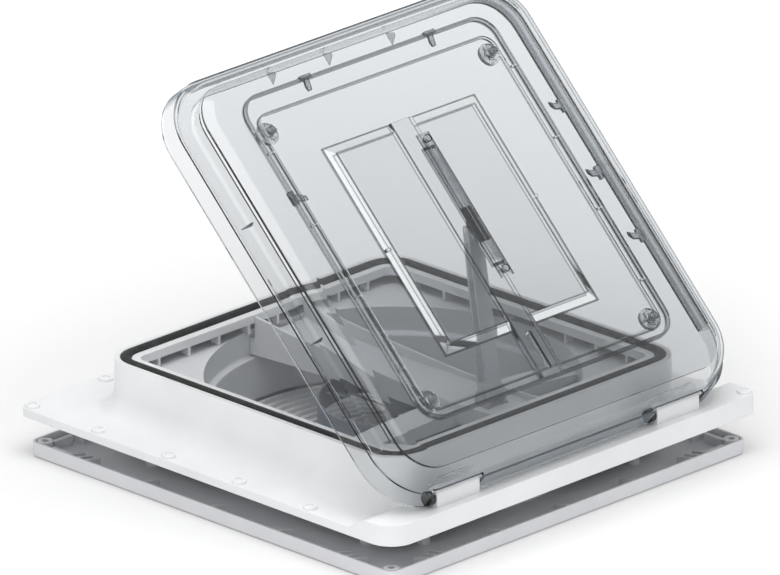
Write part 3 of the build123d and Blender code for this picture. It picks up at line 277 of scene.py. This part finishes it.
class Finish:
    """One material and the nodes behind it."""

    def __init__(self, name, color, **values):
        self.material = bpy.data.materials.new(name)
        self.material.use_nodes = True
        self.nodes = self.material.node_tree.nodes
        self.links = self.material.node_tree.links
        self.shader = self.nodes["Principled BSDF"]
        self.output = self.nodes["Material Output"]
        self.color = tuple(color[:3]) + (1.0,)
        self.material.diffuse_color = self.color
        self.shader.inputs["Base Color"].default_value = self.color
        for socket, value in values.items():
            self.shader.inputs[socket.replace("_", " ")].default_value = value
        self.place = self.node("ShaderNodeTexCoord", output="Object")

    def node(self, kind, settings=None, *values, output=0, **named):
        """Adds a node with its settings, then gives its sockets their values or links."""
        made = self.nodes.new(kind)
        for key, value in (settings or {}).items():
            setattr(made, key, value)
        pairs = list(enumerate(values))
        pairs += [(key.replace("_", " "), value) for key, value in named.items()]
        for key, value in pairs:
            self.put(made.inputs[key], value)
        return Socket(self, made.outputs[output])

    def put(self, socket, value):
        """Links or sets one socket."""
        if isinstance(value, Socket):
            self.links.new(value.link, socket)
        else:
            socket.default_value = value

    def noise(self, scale, detail=2.0, roughness=0.5, stretch=(1, 1, 1)):
        """Noise on the object's own coordinates, from 0 to 1."""
        spread = self.node("ShaderNodeMapping", None, self.place, Scale=stretch)
        values = {"Scale": scale, "Detail": detail, "Roughness": roughness}
        return self.node("ShaderNodeTexNoise", None, spread, **values)

    def steps(self, value, low, high):
        """Carries a value from the range low to high onto 0 to 1."""
        return self.node("ShaderNodeMapRange", {"clamp": True}, value, low, high)

    def tint(self, factor, other, first=None):
        """Base colour from the finish's own, or an earlier mix, to another by a factor."""
        mixed = self.node("ShaderNodeMix", {"data_type": "RGBA"}, Factor=factor, output=2)
        mix = mixed.link.node
        self.put(mix.inputs[6], first or self.color)
        mix.inputs[7].default_value = tuple(other[:3]) + (1.0,)
        self.put(self.shader.inputs["Base Color"], mixed)
        return mixed

    def line(self, distance, half_width):
        """1 within half_width of distance 0, falling to 0 over the same width again."""
        return self.steps(half_width * 2 - abs(distance), 0.0, half_width)

    def lid_place(self):
        """Place on the open lid in millimetres: x, v and t."""
        parts = self.nodes.new("ShaderNodeSeparateXYZ")
        self.links.new(self.place.link, parts.inputs[0])
        x, y, z = (Socket(self, out) for out in parts.outputs)
        slope = 1000 * LID_TURN
        v = slope * (y + z) + LID_V
        t = slope * (z - y) + LID_T
        return 1000 * x, v, t

    def rounded(self, x, v, half_width, low_v, high_v, corner):
        """Distance in millimetres outside a rounded rectangle on the lid, negative inside."""
        across = abs(x) - (half_width - corner)
        along = abs(v - (low_v + high_v) / 2) - ((high_v - low_v) / 2 - corner)
        if not corner:
            return across.most(along)
        inside = across.most(along).least(0.0)
        out_x, out_v = across.most(0.0), along.most(0.0)
        outside = self.node("ShaderNodeMath", {"operation": "SQRT"}, out_x * out_x + out_v * out_v)
        return outside + inside - corner

    def relief(self, height, strength, distance, edge=0.0):
        """Bump from a height, over edges softened by a small radius."""
        values = {"Height": height, "Strength": strength, "Distance": distance}
        if edge:
            values["Normal"] = self.node("ShaderNodeBevel", {"samples": 4}, edge)
        self.put(self.shader.inputs["Normal"], self.node("ShaderNodeBump", None, **values))

    def paint_edge_shade(self, color, low, high, share):
        """Painted shade: mixes a grey diffuse into clear plastic where it turns away, in place of
        the darkening that the light's long path through it gives.
        """
        edge = self.nodes.new("ShaderNodeBsdfDiffuse")
        edge.inputs["Color"].default_value = tuple(color[:3]) + (1.0,)
        mix = self.nodes.new("ShaderNodeMixShader")
        grazing = self.node("ShaderNodeLayerWeight", output=1)
        self.put(mix.inputs[0], share * self.steps(grazing, low, high))
        self.links.new(self.shader.outputs[0], mix.inputs[1])
        self.links.new(edge.outputs[0], mix.inputs[2])
        self.links.new(mix.outputs[0], self.output.inputs["Surface"])

    def onto(self, *objects):
        """Gives the finish to objects as their only material."""
        for item in objects:
            item.data.materials.clear()
            item.data.materials.append(self.material)


def acrylic(name, color, density, absorbed):
    """Clear lid plastic with a tint at its faces and a deeper one through its thickness."""
    finish = Finish(name, color, Roughness=0.0, IOR=ACRYLIC_IOR, Transmission_Weight=1.0)
    depth = finish.nodes.new("ShaderNodeVolumeAbsorption")
    depth.inputs["Color"].default_value = tuple(absorbed) + (1.0,)
    depth.inputs["Density"].default_value = density
    finish.links.new(depth.outputs[0], finish.output.inputs["Volume"])
    return finish


def lid_matrix():
    """From flat lid coordinates in metres, x v t, to the open lid."""
    return Matrix.Translation(LID_ORIGIN) @ Matrix.Rotation(LID_OPEN, 4, "X")


def place_on_lid(piece):
    """Turns a piece modelled flat onto the open lid, applies the turn and smooths its curves."""
    piece.matrix_world = lid_matrix()
    pick(piece)
    bpy.ops.object.transform_apply(location=True, rotation=True, scale=True)
    bpy.ops.object.shade_smooth_by_angle(angle=SMOOTH_ANGLE)
    select_none()


def moulded(name, color, roughness, grain=900.0, relief=0.12, edge=0.0007, shade=0.94):
    """Moulded plastic: a fine grain, slow changes of shade, and softened edges."""
    finish = Finish(name, color, Specular_IOR_Level=0.45)
    clouds = finish.noise(14.0, 3.0)
    grain_height = finish.noise(grain, 2.0, 0.6)
    finish.tint(finish.steps(clouds, 0.35, 0.7), [c * shade for c in color])
    finish.put(finish.shader.inputs["Roughness"], roughness + 0.1 * (clouds - 0.5))
    finish.relief(grain_height, relief, 0.0002, edge)
    return finish


class VentLook(PropertyGroup):
    """Colours of the vent's plastics."""

    frame_color: FloatVectorProperty(
        name="Frame", description="White of the roof frame, caps and grille", subtype="COLOR",
        default=(0.84, 0.85, 0.86), min=0.0, max=1.0,
    )
    throat_color: FloatVectorProperty(
        name="Throat", description="Duller white of the throat and the bridge", subtype="COLOR",
        default=(0.71, 0.72, 0.74), min=0.0, max=1.0,
    )
    tray_color: FloatVectorProperty(
        name="Ceiling frame", description="Pale grey of the frame inside the caravan",
        subtype="COLOR", default=(0.74, 0.745, 0.77), min=0.0, max=1.0,
    )
    lid_color: FloatVectorProperty(
        name="Lid", description="Faint tint of the clear lid's faces", subtype="COLOR",
        default=(0.86, 0.87, 0.878), min=0.0, max=1.0,
    )
    lid_depth_color: FloatVectorProperty(
        name="Lid depth", description="Tint that grows with the thickness", subtype="COLOR",
        default=(0.26, 0.32, 0.355), min=0.0, max=1.0,
    )
    lid_density: FloatProperty(
        name="Lid density", description="Strength of the tint through the thickness",
        default=22.0, min=0.0,
    )
    # Painted shade: colour of the dark lines painted along the ribs and the rail where the clear
    # plastic bends light.
    line_shade_color: FloatVectorProperty(
        name="Lid edges", description="Dark lines along the ribs and the rail", subtype="COLOR",
        default=(0.22, 0.24, 0.26), min=0.0, max=1.0,
    )
    seal_color: FloatVectorProperty(
        name="Seal", description="Rubber of the rim seal", subtype="COLOR",
        default=(0.018, 0.018, 0.019), min=0.0, max=1.0,
    )


class VentSkins(PropertyGroup):
    """Sizes of the pieces that are modelled here."""

    wall: FloatProperty(
        name="Wall", description="Thickness of the outer skin", unit="LENGTH",
        default=0.003, min=0.001,
    )
    shoulder: FloatProperty(
        name="Shoulder", description="Radius where the outer skin's side meets its top",
        unit="LENGTH", default=0.027, min=0.005, max=0.03,
    )
    notch_length: FloatProperty(
        name="Notch length", description="Room for a hinge cover along the hinge",
        unit="LENGTH", default=0.0702, min=0.01,
    )
    notch_height: FloatProperty(
        name="Notch height", description="Room for a hinge cover up the skirt", unit="LENGTH",
        default=0.0222, min=0.005,
    )
    edge_wall: FloatProperty(
        name="Edge wall", description="Thickness of the inner skin's turned-down edge",
        unit="LENGTH", default=0.0016, min=0.0005,
    )
    edge_top: FloatProperty(
        name="Edge top", description="Level at which the turned-down edge meets the inner skin",
        unit="LENGTH", default=0.0382, min=0.025,
    )
    washer_radius: FloatProperty(
        name="Washer radius", description="Radius of the washer under a spacer's screw",
        unit="LENGTH", default=0.0055, min=0.004,
    )
    thread_turns: IntProperty(
        name="Thread turns", description="Turns of thread on a spacer's screw", default=4, min=1,
    )


class VentStudio(PropertyGroup):
    """Light, floor and camera."""

    camera_distance: FloatProperty(
        name="Distance", description="Camera to the point that it looks at", unit="LENGTH",
        default=21.667, min=1.0,
    )
    lens: FloatProperty(
        name="Lens", description="Focal length in millimetres", default=1000.0, min=20.0,
    )
    sky_strength: FloatProperty(
        name="Sky", description="Strength of the even light", default=0.48, min=0.0,
    )
    mirrored_sky: FloatProperty(
        name="Mirrored sky", description="Sky that the surfaces mirror", default=0.8, min=0.0,
    )
    key_power: FloatProperty(
        name="Key", description="Power of the overhead softbox in watts", default=53.0, min=0.0,
    )
    fill_power: FloatProperty(
        name="Fill", description="Power of the low light by the camera in watts",
        default=4.5, min=0.0,
    )


class ROOFVENT_OT_camera(Operator):
    """Sets the camera where the photograph was taken from"""

    bl_idname = "roofvent.camera"
    bl_label = "Camera"

    def execute(self, context):
        studio = context.scene.vent_studio
        data = bpy.data.cameras.new("camera")
        data.sensor_width = 36.0
        data.lens = studio.lens
        data.clip_end = CAMERA_REACH
        camera = bpy.data.objects.new("camera", data)
        context.scene.collection.objects.link(camera)
        back = CAMERA_BACK.normalized()
        up = back.cross(CAMERA_RIGHT).normalized()
        right = up.cross(back)
        turn = Matrix((right, up, back)).transposed().to_4x4()
        place = CAMERA_AIM + studio.camera_distance * back
        camera.matrix_world = Matrix.Translation(place) @ turn
        context.scene.camera = camera
        return {"FINISHED"}


def softbox(name, place, size, power):
    """An area light that faces the vent."""
    light = bpy.data.lights.new(name, "AREA")
    light.shape = "RECTANGLE"
    light.size, light.size_y = size
    light.energy = power
    lamp = bpy.data.objects.new(name, light)
    bpy.context.scene.collection.objects.link(lamp)
    lamp.location = place
    lamp.rotation_euler = (LAMP_AIM - lamp.location).to_track_quat("-Z", "Y").to_euler()


class ROOFVENT_OT_studio(Operator):
    """Makes the floor, the even sky and the softboxes"""

    bl_idname = "roofvent.studio"
    bl_label = "Studio"

    def execute(self, context):
        studio = context.scene.vent_studio
        select_none()
        bpy.ops.mesh.primitive_plane_add(
            size=FLOOR_SIZE, location=(0, 0, cad_box[0][2] - FLOOR_GAP),
        )
        floor = context.object
        floor.name = "floor"
        paper = Finish("white_paper", (0.80, 0.80, 0.80), Roughness=0.9, Specular_IOR_Level=0.0)
        spread = paper.node("ShaderNodeVectorMath", {"operation": "LENGTH"}, paper.place, output=1)
        glow = FLOOR_GLOW + FLOOR_GLOW_ADDED * paper.steps(spread, GLOW_NEAR, GLOW_FAR)
        paper.put(paper.shader.inputs["Emission Color"], glow)
        paper.shader.inputs["Emission Strength"].default_value = 1.0
        paper.onto(floor)

        world = bpy.data.worlds.new("sky")
        context.scene.world = world
        world.use_nodes = True
        tree = world.node_tree
        background = tree.nodes["Background"]
        background.inputs["Color"].default_value = (1, 1, 1, 1)
        ray = tree.nodes.new("ShaderNodeLightPath")
        total = studio.sky_strength
        for kind, step in (
            ("Is Camera Ray", 1.0 - studio.sky_strength),
            ("Is Glossy Ray", studio.mirrored_sky - studio.sky_strength),
            ("Is Transmission Ray", 1.0 - studio.mirrored_sky),
        ):
            share = tree.nodes.new("ShaderNodeMath")
            share.operation = "MULTIPLY_ADD"
            share.inputs[1].default_value = step
            tree.links.new(ray.outputs[kind], share.inputs[0])
            if isinstance(total, float):
                share.inputs[2].default_value = total
            else:
                tree.links.new(total, share.inputs[2])
            total = share.outputs[0]
        tree.links.new(total, background.inputs["Strength"])

        softbox("overhead_softbox", KEY_PLACE, KEY_SIZE, studio.key_power)
        softbox("low_fill", FILL_PLACE, FILL_SIZE, studio.fill_power)
        return {"FINISHED"}


class ROOFVENT_OT_frames(Operator):
    """Finishes the roof frame, the throat, the bridge, the caps and the ceiling frame"""

    bl_idname = "roofvent.frames"
    bl_label = "Frames"

    def execute(self, context):
        look = context.scene.vent_look
        white = moulded("white_frame_plastic", look.frame_color, 0.34)
        outside = ("outer_frame", "screw_caps", "hinge_covers", "ceiling_grille")
        white.onto(*[nodes[name] for name in outside])
        inner = moulded("inner_white_plastic", look.throat_color, 0.42)
        inner.onto(*[nodes[name] for name in ("throat_liner", "bridge_body", "bridge_cover")])
        tray = moulded("pale_tray_plastic", look.tray_color, 0.5)
        tray.onto(nodes["interior_frame"])
        return {"FINISHED"}


class ROOFVENT_OT_seal(Operator):
    """Finishes the black rubber seal on the curb"""

    bl_idname = "roofvent.seal"
    bl_label = "Rim seal"

    def execute(self, context):
        look = context.scene.vent_look
        rubber = Finish("black_seal_rubber", look.seal_color, Specular_IOR_Level=0.35)
        dust = rubber.noise(70.0, 4.0)
        rubber.tint(rubber.steps(dust, 0.5, 0.8), (0.05, 0.05, 0.052))
        rubber.put(rubber.shader.inputs["Roughness"], 0.55 + 0.2 * dust)
        rubber.relief(rubber.noise(700.0, 2.0), 0.2, 0.0002, 0.0004)
        rubber.onto(nodes["rim_seal"])
        return {"FINISHED"}


class ROOFVENT_OT_lid(Operator):
    """Makes the clear inner skin, leaves, spacers and rail from smoothed copies of their solids"""

    bl_idname = "roofvent.lid"
    bl_label = "Clear lid"

    def execute(self, context):
        look = context.scene.vent_look
        face, deep = look.lid_color, look.lid_depth_color
        sheet = acrylic("clear_sheet_acrylic", face, look.lid_density, deep)
        x, v, _ = sheet.lid_place()
        pan = sheet.rounded(x, v, *PAN)
        rib = sheet.rounded(x, v, *OUTER_RIB)
        second = sheet.rounded(x, v, *INNER_RIB)
        off_channel = sheet.steps(abs(x), CHANNEL_HALF - 1.0, CHANNEL_HALF)
        # Painted highlight: a bright band along the pan's bevel.
        highlight_band = sheet.line(pan + PAN_BAND, PAN_BAND_HALF) * off_channel
        # Painted shade: dark lines along the pan, the channel and the ribs, where the clear
        # plastic bends light.
        shade_lines = sheet.line(pan, LINE_HALF).most(sheet.line(pan + 2 * PAN_BAND, LINE_HALF))
        shade_lines = shade_lines * off_channel
        channel = sheet.steps(PAN[2] - v, 0.0, 0.5)
        channel = channel * sheet.steps(v, CHANNEL_FOOT, CHANNEL_FOOT + 0.5)
        shade_lines = shade_lines.most(sheet.line(abs(x) - CHANNEL_HALF, LINE_HALF) * channel)
        shade_lines = shade_lines.most(sheet.line(rib + OUTER_LINE_IN, OUTER_LINE_HALF))
        shade_lines = shade_lines.most(sheet.line(second + INNER_LINE_IN, LINE_HALF))
        painted_highlight = sheet.tint(highlight_band, PAINTED_HIGHLIGHT)
        sheet.tint(shade_lines, look.line_shade_color, painted_highlight)

        density = look.lid_density * FITTING_DENSITY
        plain = acrylic("clear_fitting_acrylic", FITTING_COLOR, density, deep)
        plain.tint(plain.steps(plain.noise(90.0, 2.0), 0.3, 0.7), (0.88, 0.90, 0.91))
        density = look.lid_density * THIN_DENSITY
        thin = acrylic("clear_leaf_acrylic", (0.97, 0.975, 0.98), density, deep)
        thin.tint(thin.steps(thin.noise(90.0, 2.0), 0.3, 0.7), (0.94, 0.95, 0.96))
        thin.shader.inputs["IOR"].default_value = LEAF_IOR
        rail = acrylic("clear_rail_acrylic", FITTING_COLOR, density, deep)
        rail.shader.inputs["IOR"].default_value = RAIL_IOR
        x, v, _ = rail.lid_place()
        # Painted shade: dark lines along the rail's edges and slot, drawn over a grey strip.
        ends = rail.steps(v, STRIP_LOW, STRIP_LOW + 3.0) * rail.steps(STRIP_HIGH - v, 0.0, 3.0)
        strip = rail.tint(rail.line(x - STRIP_X, STRIP_HALF) * ends, STRIP_COLOR)
        slot_shade = rail.line(abs(x - SLOT_X) - SLOT_EDGE, SLOT_LINE_HALF) * ends
        outline_shade = rail.line(abs(x - RAIL_X) - RAIL_EDGE, LINE_HALF).most(slot_shade)
        rail.tint(outline_shade, look.line_shade_color, strip)
        for node, angle, finish in (
            ("lid_inner_panel", 15.0, sheet), ("hinge_leaves", 25.0, thin),
            ("skin_spacers", 25.0, plain), ("lid_rail", 20.0, rail),
        ):
            piece = merged_copy(node, "clear_" + node, angle)
            finish.onto(piece)
            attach(piece, "lid")
            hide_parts(node)
        return {"FINISHED"}


class ROOFVENT_OT_shell(Operator):
    """Models the clear outer skin: skirt, step, leaning sides, round shoulders and notches"""

    bl_idname = "roofvent.shell"
    bl_label = "Outer skin"

    def execute(self, context):
        look, skins = context.scene.vent_look, context.scene.vent_skins
        select_none()
        bpy.ops.mesh.primitive_plane_add(size=1.0, location=(0, 0, 0))
        piece = context.object
        piece.name = "clear_shell"
        bpy.ops.object.mode_set(mode="EDIT")
        bpy.ops.transform.resize(value=(2 * SHELL_HALF, SHELL_LENGTH, 1))
        bpy.ops.mesh.bevel(offset=SHELL_CORNER, segments=SHELL_CORNER_FACETS, affect="VERTICES")
        bpy.ops.transform.translate(value=(0, SHELL_LENGTH / 2, 0))
        radius = skins.shoulder
        arc_level = SHELL_HEIGHT - radius
        shoulder_foot = arc_level + radius * sin(BODY_DRAFT)
        ledge = SKIRT_FOLD + SKIRT_STEP
        side = ledge + (shoulder_foot - SKIRT_TOP) * tan(BODY_DRAFT)
        arc_reach = side + radius * cos(BODY_DRAFT)
        profile = [(SKIRT_FOLD, SKIRT_TOP), (ledge, SKIRT_TOP), (side, shoulder_foot)]
        for step in range(1, SHOULDER_FACETS + 1):
            angle = BODY_DRAFT + (pi / 2 - BODY_DRAFT) * step / SHOULDER_FACETS
            profile.append((arc_reach - radius * cos(angle), arc_level + radius * sin(angle)))
        reach, level = 0.0, 0.0
        for next_reach, next_level in profile:
            bpy.ops.mesh.inset(thickness=next_reach - reach, depth=next_level - level)
            reach, level = next_reach, next_level
        bpy.ops.mesh.select_all(action="SELECT")
        bpy.ops.mesh.normals_make_consistent(inside=False)
        bpy.ops.object.mode_set(mode="OBJECT")
        wall = piece.modifiers.new("wall", "SOLIDIFY")
        wall.thickness = skins.wall
        wall.offset = -1.0
        wall.use_even_offset = True
        bpy.ops.object.modifier_apply(modifier=wall.name)
        for x in (-NOTCH_X - NOTCH_SHIFT, NOTCH_X - NOTCH_SHIFT):
            select_none()
            bpy.ops.mesh.primitive_cube_add(size=1.0, location=(0, 0, 0))
            cutter = context.object
            bpy.ops.object.mode_set(mode="EDIT")
            notch_box = (skins.notch_length, 2 * NOTCH_DEPTH, 2 * skins.notch_height)
            bpy.ops.transform.resize(value=notch_box)
            bpy.ops.transform.translate(value=(x, 0, 0))
            bpy.ops.object.mode_set(mode="OBJECT")
            pick(piece)
            notch = piece.modifiers.new("notch", "BOOLEAN")
            notch.operation = "DIFFERENCE"
            notch.object = cutter
            bpy.ops.object.modifier_apply(modifier=notch.name)
            bpy.data.objects.remove(cutter)
        place_on_lid(piece)

        face = look.lid_color
        shell = acrylic("clear_shell_acrylic", face, look.lid_density, look.lid_depth_color)
        shell.tint(shell.steps(shell.noise(6.0, 2.0), 0.3, 0.7), [c * 0.99 for c in face])
        # Painted shade: the outer skin goes grey where it turns away.
        shell.paint_edge_shade(SHELL_EDGE_SHADE, SHELL_EDGE_LOW, SHELL_EDGE_HIGH, SHELL_EDGE_SHARE)
        shell.onto(piece)
        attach(piece, "lid")
        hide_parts("lid_outer_shell")
        return {"FINISHED"}


class ROOFVENT_OT_skirt(Operator):
    """Models the turned-down edge of the inner skin, open at the hinge side"""

    bl_idname = "roofvent.skirt"
    bl_label = "Inner skin's edge"

    def execute(self, context):
        look, skins = context.scene.vent_look, context.scene.vent_skins
        select_none()
        bpy.ops.mesh.primitive_plane_add(size=1.0, location=(0, 0, 0))
        piece = context.object
        piece.name = "skin_edge"
        middle = (EDGE_LOW + EDGE_HIGH) / 2
        bpy.ops.object.mode_set(mode="EDIT")
        bpy.ops.transform.resize(value=(2 * EDGE_HALF, EDGE_HIGH - EDGE_LOW, 1))
        bpy.ops.mesh.bevel(offset=EDGE_CORNER, segments=EDGE_CORNER_FACETS, affect="VERTICES")
        bpy.ops.mesh.inset(thickness=EDGE_FLANGE, depth=0)
        bpy.ops.mesh.inset(thickness=skins.edge_wall, depth=0)
        bpy.ops.mesh.delete(type="FACE")
        bpy.ops.mesh.select_all(action="SELECT")
        bpy.ops.transform.translate(value=(0, middle, EDGE_FOOT))
        bpy.ops.mesh.select_mode(type="FACE")
        bpy.ops.mesh.select_all(action="DESELECT")
        bpy.ops.object.mode_set(mode="OBJECT")
        for face in piece.data.polygons:
            face.select = face.center.y < EDGE_LOW + EDGE_CORNER
        bpy.ops.object.mode_set(mode="EDIT")
        bpy.ops.mesh.delete(type="FACE")
        bpy.ops.mesh.select_all(action="SELECT")
        extrude((0, 0, skins.edge_wall))
        bpy.ops.mesh.select_all(action="DESELECT")
        bpy.ops.object.mode_set(mode="OBJECT")
        flange_top = EDGE_FOOT + skins.edge_wall
        for face in piece.data.polygons:
            top = abs(face.center.z - flange_top) < 1e-5
            x, y = abs(face.center.x), face.center.y
            corner = Vector((x - EDGE_HALF + EDGE_CORNER, y - EDGE_HIGH + EDGE_CORNER))
            if corner.x > 0 and corner.y > 0:
                reach = corner.length - EDGE_CORNER
            else:
                reach = max(x - EDGE_HALF, y - EDGE_HIGH)
            face.select = top and reach < -EDGE_FLANGE
        bpy.ops.object.mode_set(mode="EDIT")
        extrude((0, 0, skins.edge_top - flange_top))
        bpy.ops.mesh.select_all(action="SELECT")
        bpy.ops.mesh.normals_make_consistent(inside=False)
        bpy.ops.object.mode_set(mode="OBJECT")
        place_on_lid(piece)

        rim = acrylic("clear_edge_acrylic", look.lid_color, look.lid_density, look.lid_depth_color)
        x, _, t = rim.lid_place()
        # Painted highlight on the lower part of the edge wall, turning to painted shade towards
        # the right-hand side.
        wall = rim.steps(t, 1000 * flange_top, 1000 * flange_top + 0.5)
        low = wall * rim.steps(PAINTED_WALL_TOP - t, 0.0, 0.5)
        right = rim.steps(x, SHADE_FROM_X, SHADE_TO_X)
        painted_highlight = rim.tint(low * (1.0 - right), PAINTED_HIGHLIGHT)
        rim.tint(low * right, EDGE_WALL_SHADE, painted_highlight)
        rim.onto(piece)
        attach(piece, "lid")
        return {"FINISHED"}


def spread_on_lid(model, name, places, t):
    """Copies a small part modelled at the origin to its places on the lid, as one piece."""
    made = []
    for x, v, turn in places:
        item = model.copy()
        item.data = model.data.copy()
        bpy.context.scene.collection.objects.link(item)
        place = Matrix.Translation((x / 1000, v / 1000, t / 1000))
        item.matrix_world = lid_matrix() @ place @ Matrix.Rotation(radians(turn), 4, "Z")
        made.append(item)
    bpy.data.objects.remove(model)
    select_none()
    for item in made:
        item.select_set(True)
    bpy.context.view_layer.objects.active = made[0]
    bpy.ops.object.transform_apply(location=True, rotation=True, scale=True)
    bpy.ops.object.join()
    piece = made[0]
    piece.name = name
    piece.data.name = name
    select_none()
    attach(piece, "lid")
    return piece


def pick_faces(piece, axis, sign):
    """Selects the faces that look along one axis, in edit mode."""
    bpy.ops.mesh.select_all(action="DESELECT")
    bpy.ops.object.mode_set(mode="OBJECT")
    for face in piece.data.polygons:
        face.select = face.normal[axis] * sign > 0.9
    bpy.ops.object.mode_set(mode="EDIT")
    bpy.ops.mesh.select_mode(type="FACE")


class ROOFVENT_OT_clips(Operator):
    """Models the hooked clips, the stiffening fins and the screws that tie the two skins"""

    bl_idname = "roofvent.clips"
    bl_label = "Skin clips"

    def execute(self, context):
        look, skins = context.scene.vent_look, context.scene.vent_skins
        select_none()
        bpy.ops.mesh.primitive_cube_add(size=0.001)
        hook = context.object
        bpy.ops.object.mode_set(mode="EDIT")
        bpy.ops.transform.resize(value=CLIP_FOOT)
        pick_faces(hook, 1, -1)
        bpy.ops.mesh.inset(thickness=CLIP_INSET, depth=0)
        bpy.ops.transform.resize(value=CLIP_NECK_SHARE)
        extrude(CLIP_NECK)
        extrude(CLIP_HOOK)
        bpy.ops.transform.resize(value=CLIP_TIP_SHARE)
        bpy.ops.mesh.select_all(action="SELECT")
        bpy.ops.mesh.bevel(offset=CLIP_ROUND, segments=2, affect="EDGES")
        bpy.ops.object.mode_set(mode="OBJECT")
        clips = spread_on_lid(hook, "skin_clips", CLIPS, CLIP_LEVEL)

        bpy.ops.mesh.primitive_cube_add(size=0.001)
        fin = context.object
        bpy.ops.object.mode_set(mode="EDIT")
        bpy.ops.transform.resize(value=FIN_BOX)
        pick_faces(fin, 2, 1)
        bpy.ops.transform.resize(value=FIN_TOP)
        bpy.ops.mesh.select_all(action="SELECT")
        bpy.ops.mesh.bevel(offset=FIN_ROUND, segments=2, affect="EDGES")
        bpy.ops.object.mode_set(mode="OBJECT")
        fins = spread_on_lid(fin, "skin_fins", FINS, FIN_LEVEL)

        bpy.ops.mesh.primitive_cylinder_add(
            vertices=20, radius=skins.washer_radius, depth=WASHER_HEIGHT,
        )
        screw = context.object
        bpy.ops.object.mode_set(mode="EDIT")
        pick_faces(screw, 2, 1)
        bpy.ops.mesh.inset(thickness=SHANK_INSET, depth=0)
        extrude((0, 0, SHANK_HEIGHT))
        for _ in range(skins.thread_turns):
            for widening in (THREAD_WIDENING, 1 / THREAD_WIDENING):
                extrude((0, 0, THREAD_RISE))
                bpy.ops.transform.resize(value=(widening, widening, 1))
            extrude((0, 0, THREAD_RISE))
        bpy.ops.object.mode_set(mode="OBJECT")
        screws = spread_on_lid(screw, "spacer_screws", SPACERS, SCREW_LEVEL)

        deep = look.lid_depth_color
        clip = acrylic("clear_clip_acrylic", CLIP_COLOR, look.lid_density, deep)
        clip.tint(clip.steps(clip.noise(300.0, 2.0), 0.35, 0.65), CLIP_CLOUDS)
        clip.onto(clips, fins)
        steel = Finish("screw_steel", (0.32, 0.33, 0.34), Metallic=1.0)
        wear = steel.noise(400.0, 3.0)
        steel.tint(steel.steps(wear, 0.4, 0.7), (0.45, 0.46, 0.47))
        steel.put(steel.shader.inputs["Roughness"], 0.3 + 0.2 * wear)
        steel.relief(wear, 0.15, 0.0001)
        steel.onto(screws)
        return {"FINISHED"}


class ROOFVENT_OT_lift(Operator):
    """Finishes the arm, slider, gearbox, pins, screws, crank and fan"""

    bl_idname = "roofvent.lift"
    bl_label = "Lift and fan"

    def execute(self, context):
        arm = moulded("arm_nylon", (0.78, 0.80, 0.82), 0.4)
        arm.shader.inputs["Alpha"].default_value = 0.68
        arm.onto(nodes["lift_arm"])
        grey = moulded("grey_casing", (0.55, 0.56, 0.58), 0.45)
        grey.onto(nodes["lift_gearbox"], nodes["crank_knob"])
        casing = moulded("blue_grey_fan_plastic", (0.22, 0.25, 0.30), 0.35)
        casing.onto(nodes["fan_motor"], nodes["fan_rotor"], nodes["fan_shroud"])
        dark = moulded("dark_slider_nylon", (0.13, 0.135, 0.15), 0.42)
        dark.onto(nodes["slider"], nodes["rail_stops"])
        black = moulded("black_pin_head", (0.02, 0.02, 0.021), 0.4)
        black.onto(nodes["hinge_pins"])
        steel = Finish("zinc_steel", (0.62, 0.62, 0.63), Metallic=1.0)
        streaks = steel.noise(500.0, 2.0, 0.5, (1, 1, 0.1))
        steel.put(steel.shader.inputs["Roughness"], 0.28 + 0.15 * streaks)
        metal = ("clamp_screws", "arm_pivot_pin", "slider_pin", "rail_screws", "crank_shaft")
        steel.onto(*[nodes[name] for name in metal])
        return {"FINISHED"}


class ROOFVENT_PT_panel(Panel):
    """Lists the vent's pieces"""

    bl_label = "Roof vent"
    bl_idname = "ROOFVENT_PT_panel"
    bl_space_type = "VIEW_3D"
    bl_region_type = "UI"
    bl_category = "Roof vent"

    def draw(self, context):
        scene = context.scene
        for group in (scene.vent_look, scene.vent_skins, scene.vent_studio):
            for key in group.__annotations__:
                self.layout.prop(group, key)
        for step in STEPS:
            self.layout.operator(step.bl_idname)


STEPS = (
    ROOFVENT_OT_camera,
    ROOFVENT_OT_frames,
    ROOFVENT_OT_seal,
    ROOFVENT_OT_shell,
    ROOFVENT_OT_lid,
    ROOFVENT_OT_skirt,
    ROOFVENT_OT_clips,
    ROOFVENT_OT_lift,
    ROOFVENT_OT_studio,
)
CLASSES = (VentLook, VentSkins, VentStudio) + STEPS + (ROOFVENT_PT_panel,)


def register():
    for item in CLASSES:
        bpy.utils.register_class(item)
    bpy.types.Scene.vent_look = PointerProperty(type=VentLook)
    bpy.types.Scene.vent_skins = PointerProperty(type=VentSkins)
    bpy.types.Scene.vent_studio = PointerProperty(type=VentStudio)


def unregister():
    del bpy.types.Scene.vent_studio
    del bpy.types.Scene.vent_skins
    del bpy.types.Scene.vent_look
    for item in reversed(CLASSES):
        bpy.utils.unregister_class(item)


def main():
    """Builds everything in order."""
    register()
    bpy.context.scene.view_settings.view_transform = "Standard"
    for step in STEPS:
        group, name = step.bl_idname.split(".")
        getattr(getattr(bpy.ops, group), name)()


if __name__ == "__main__":
    main()
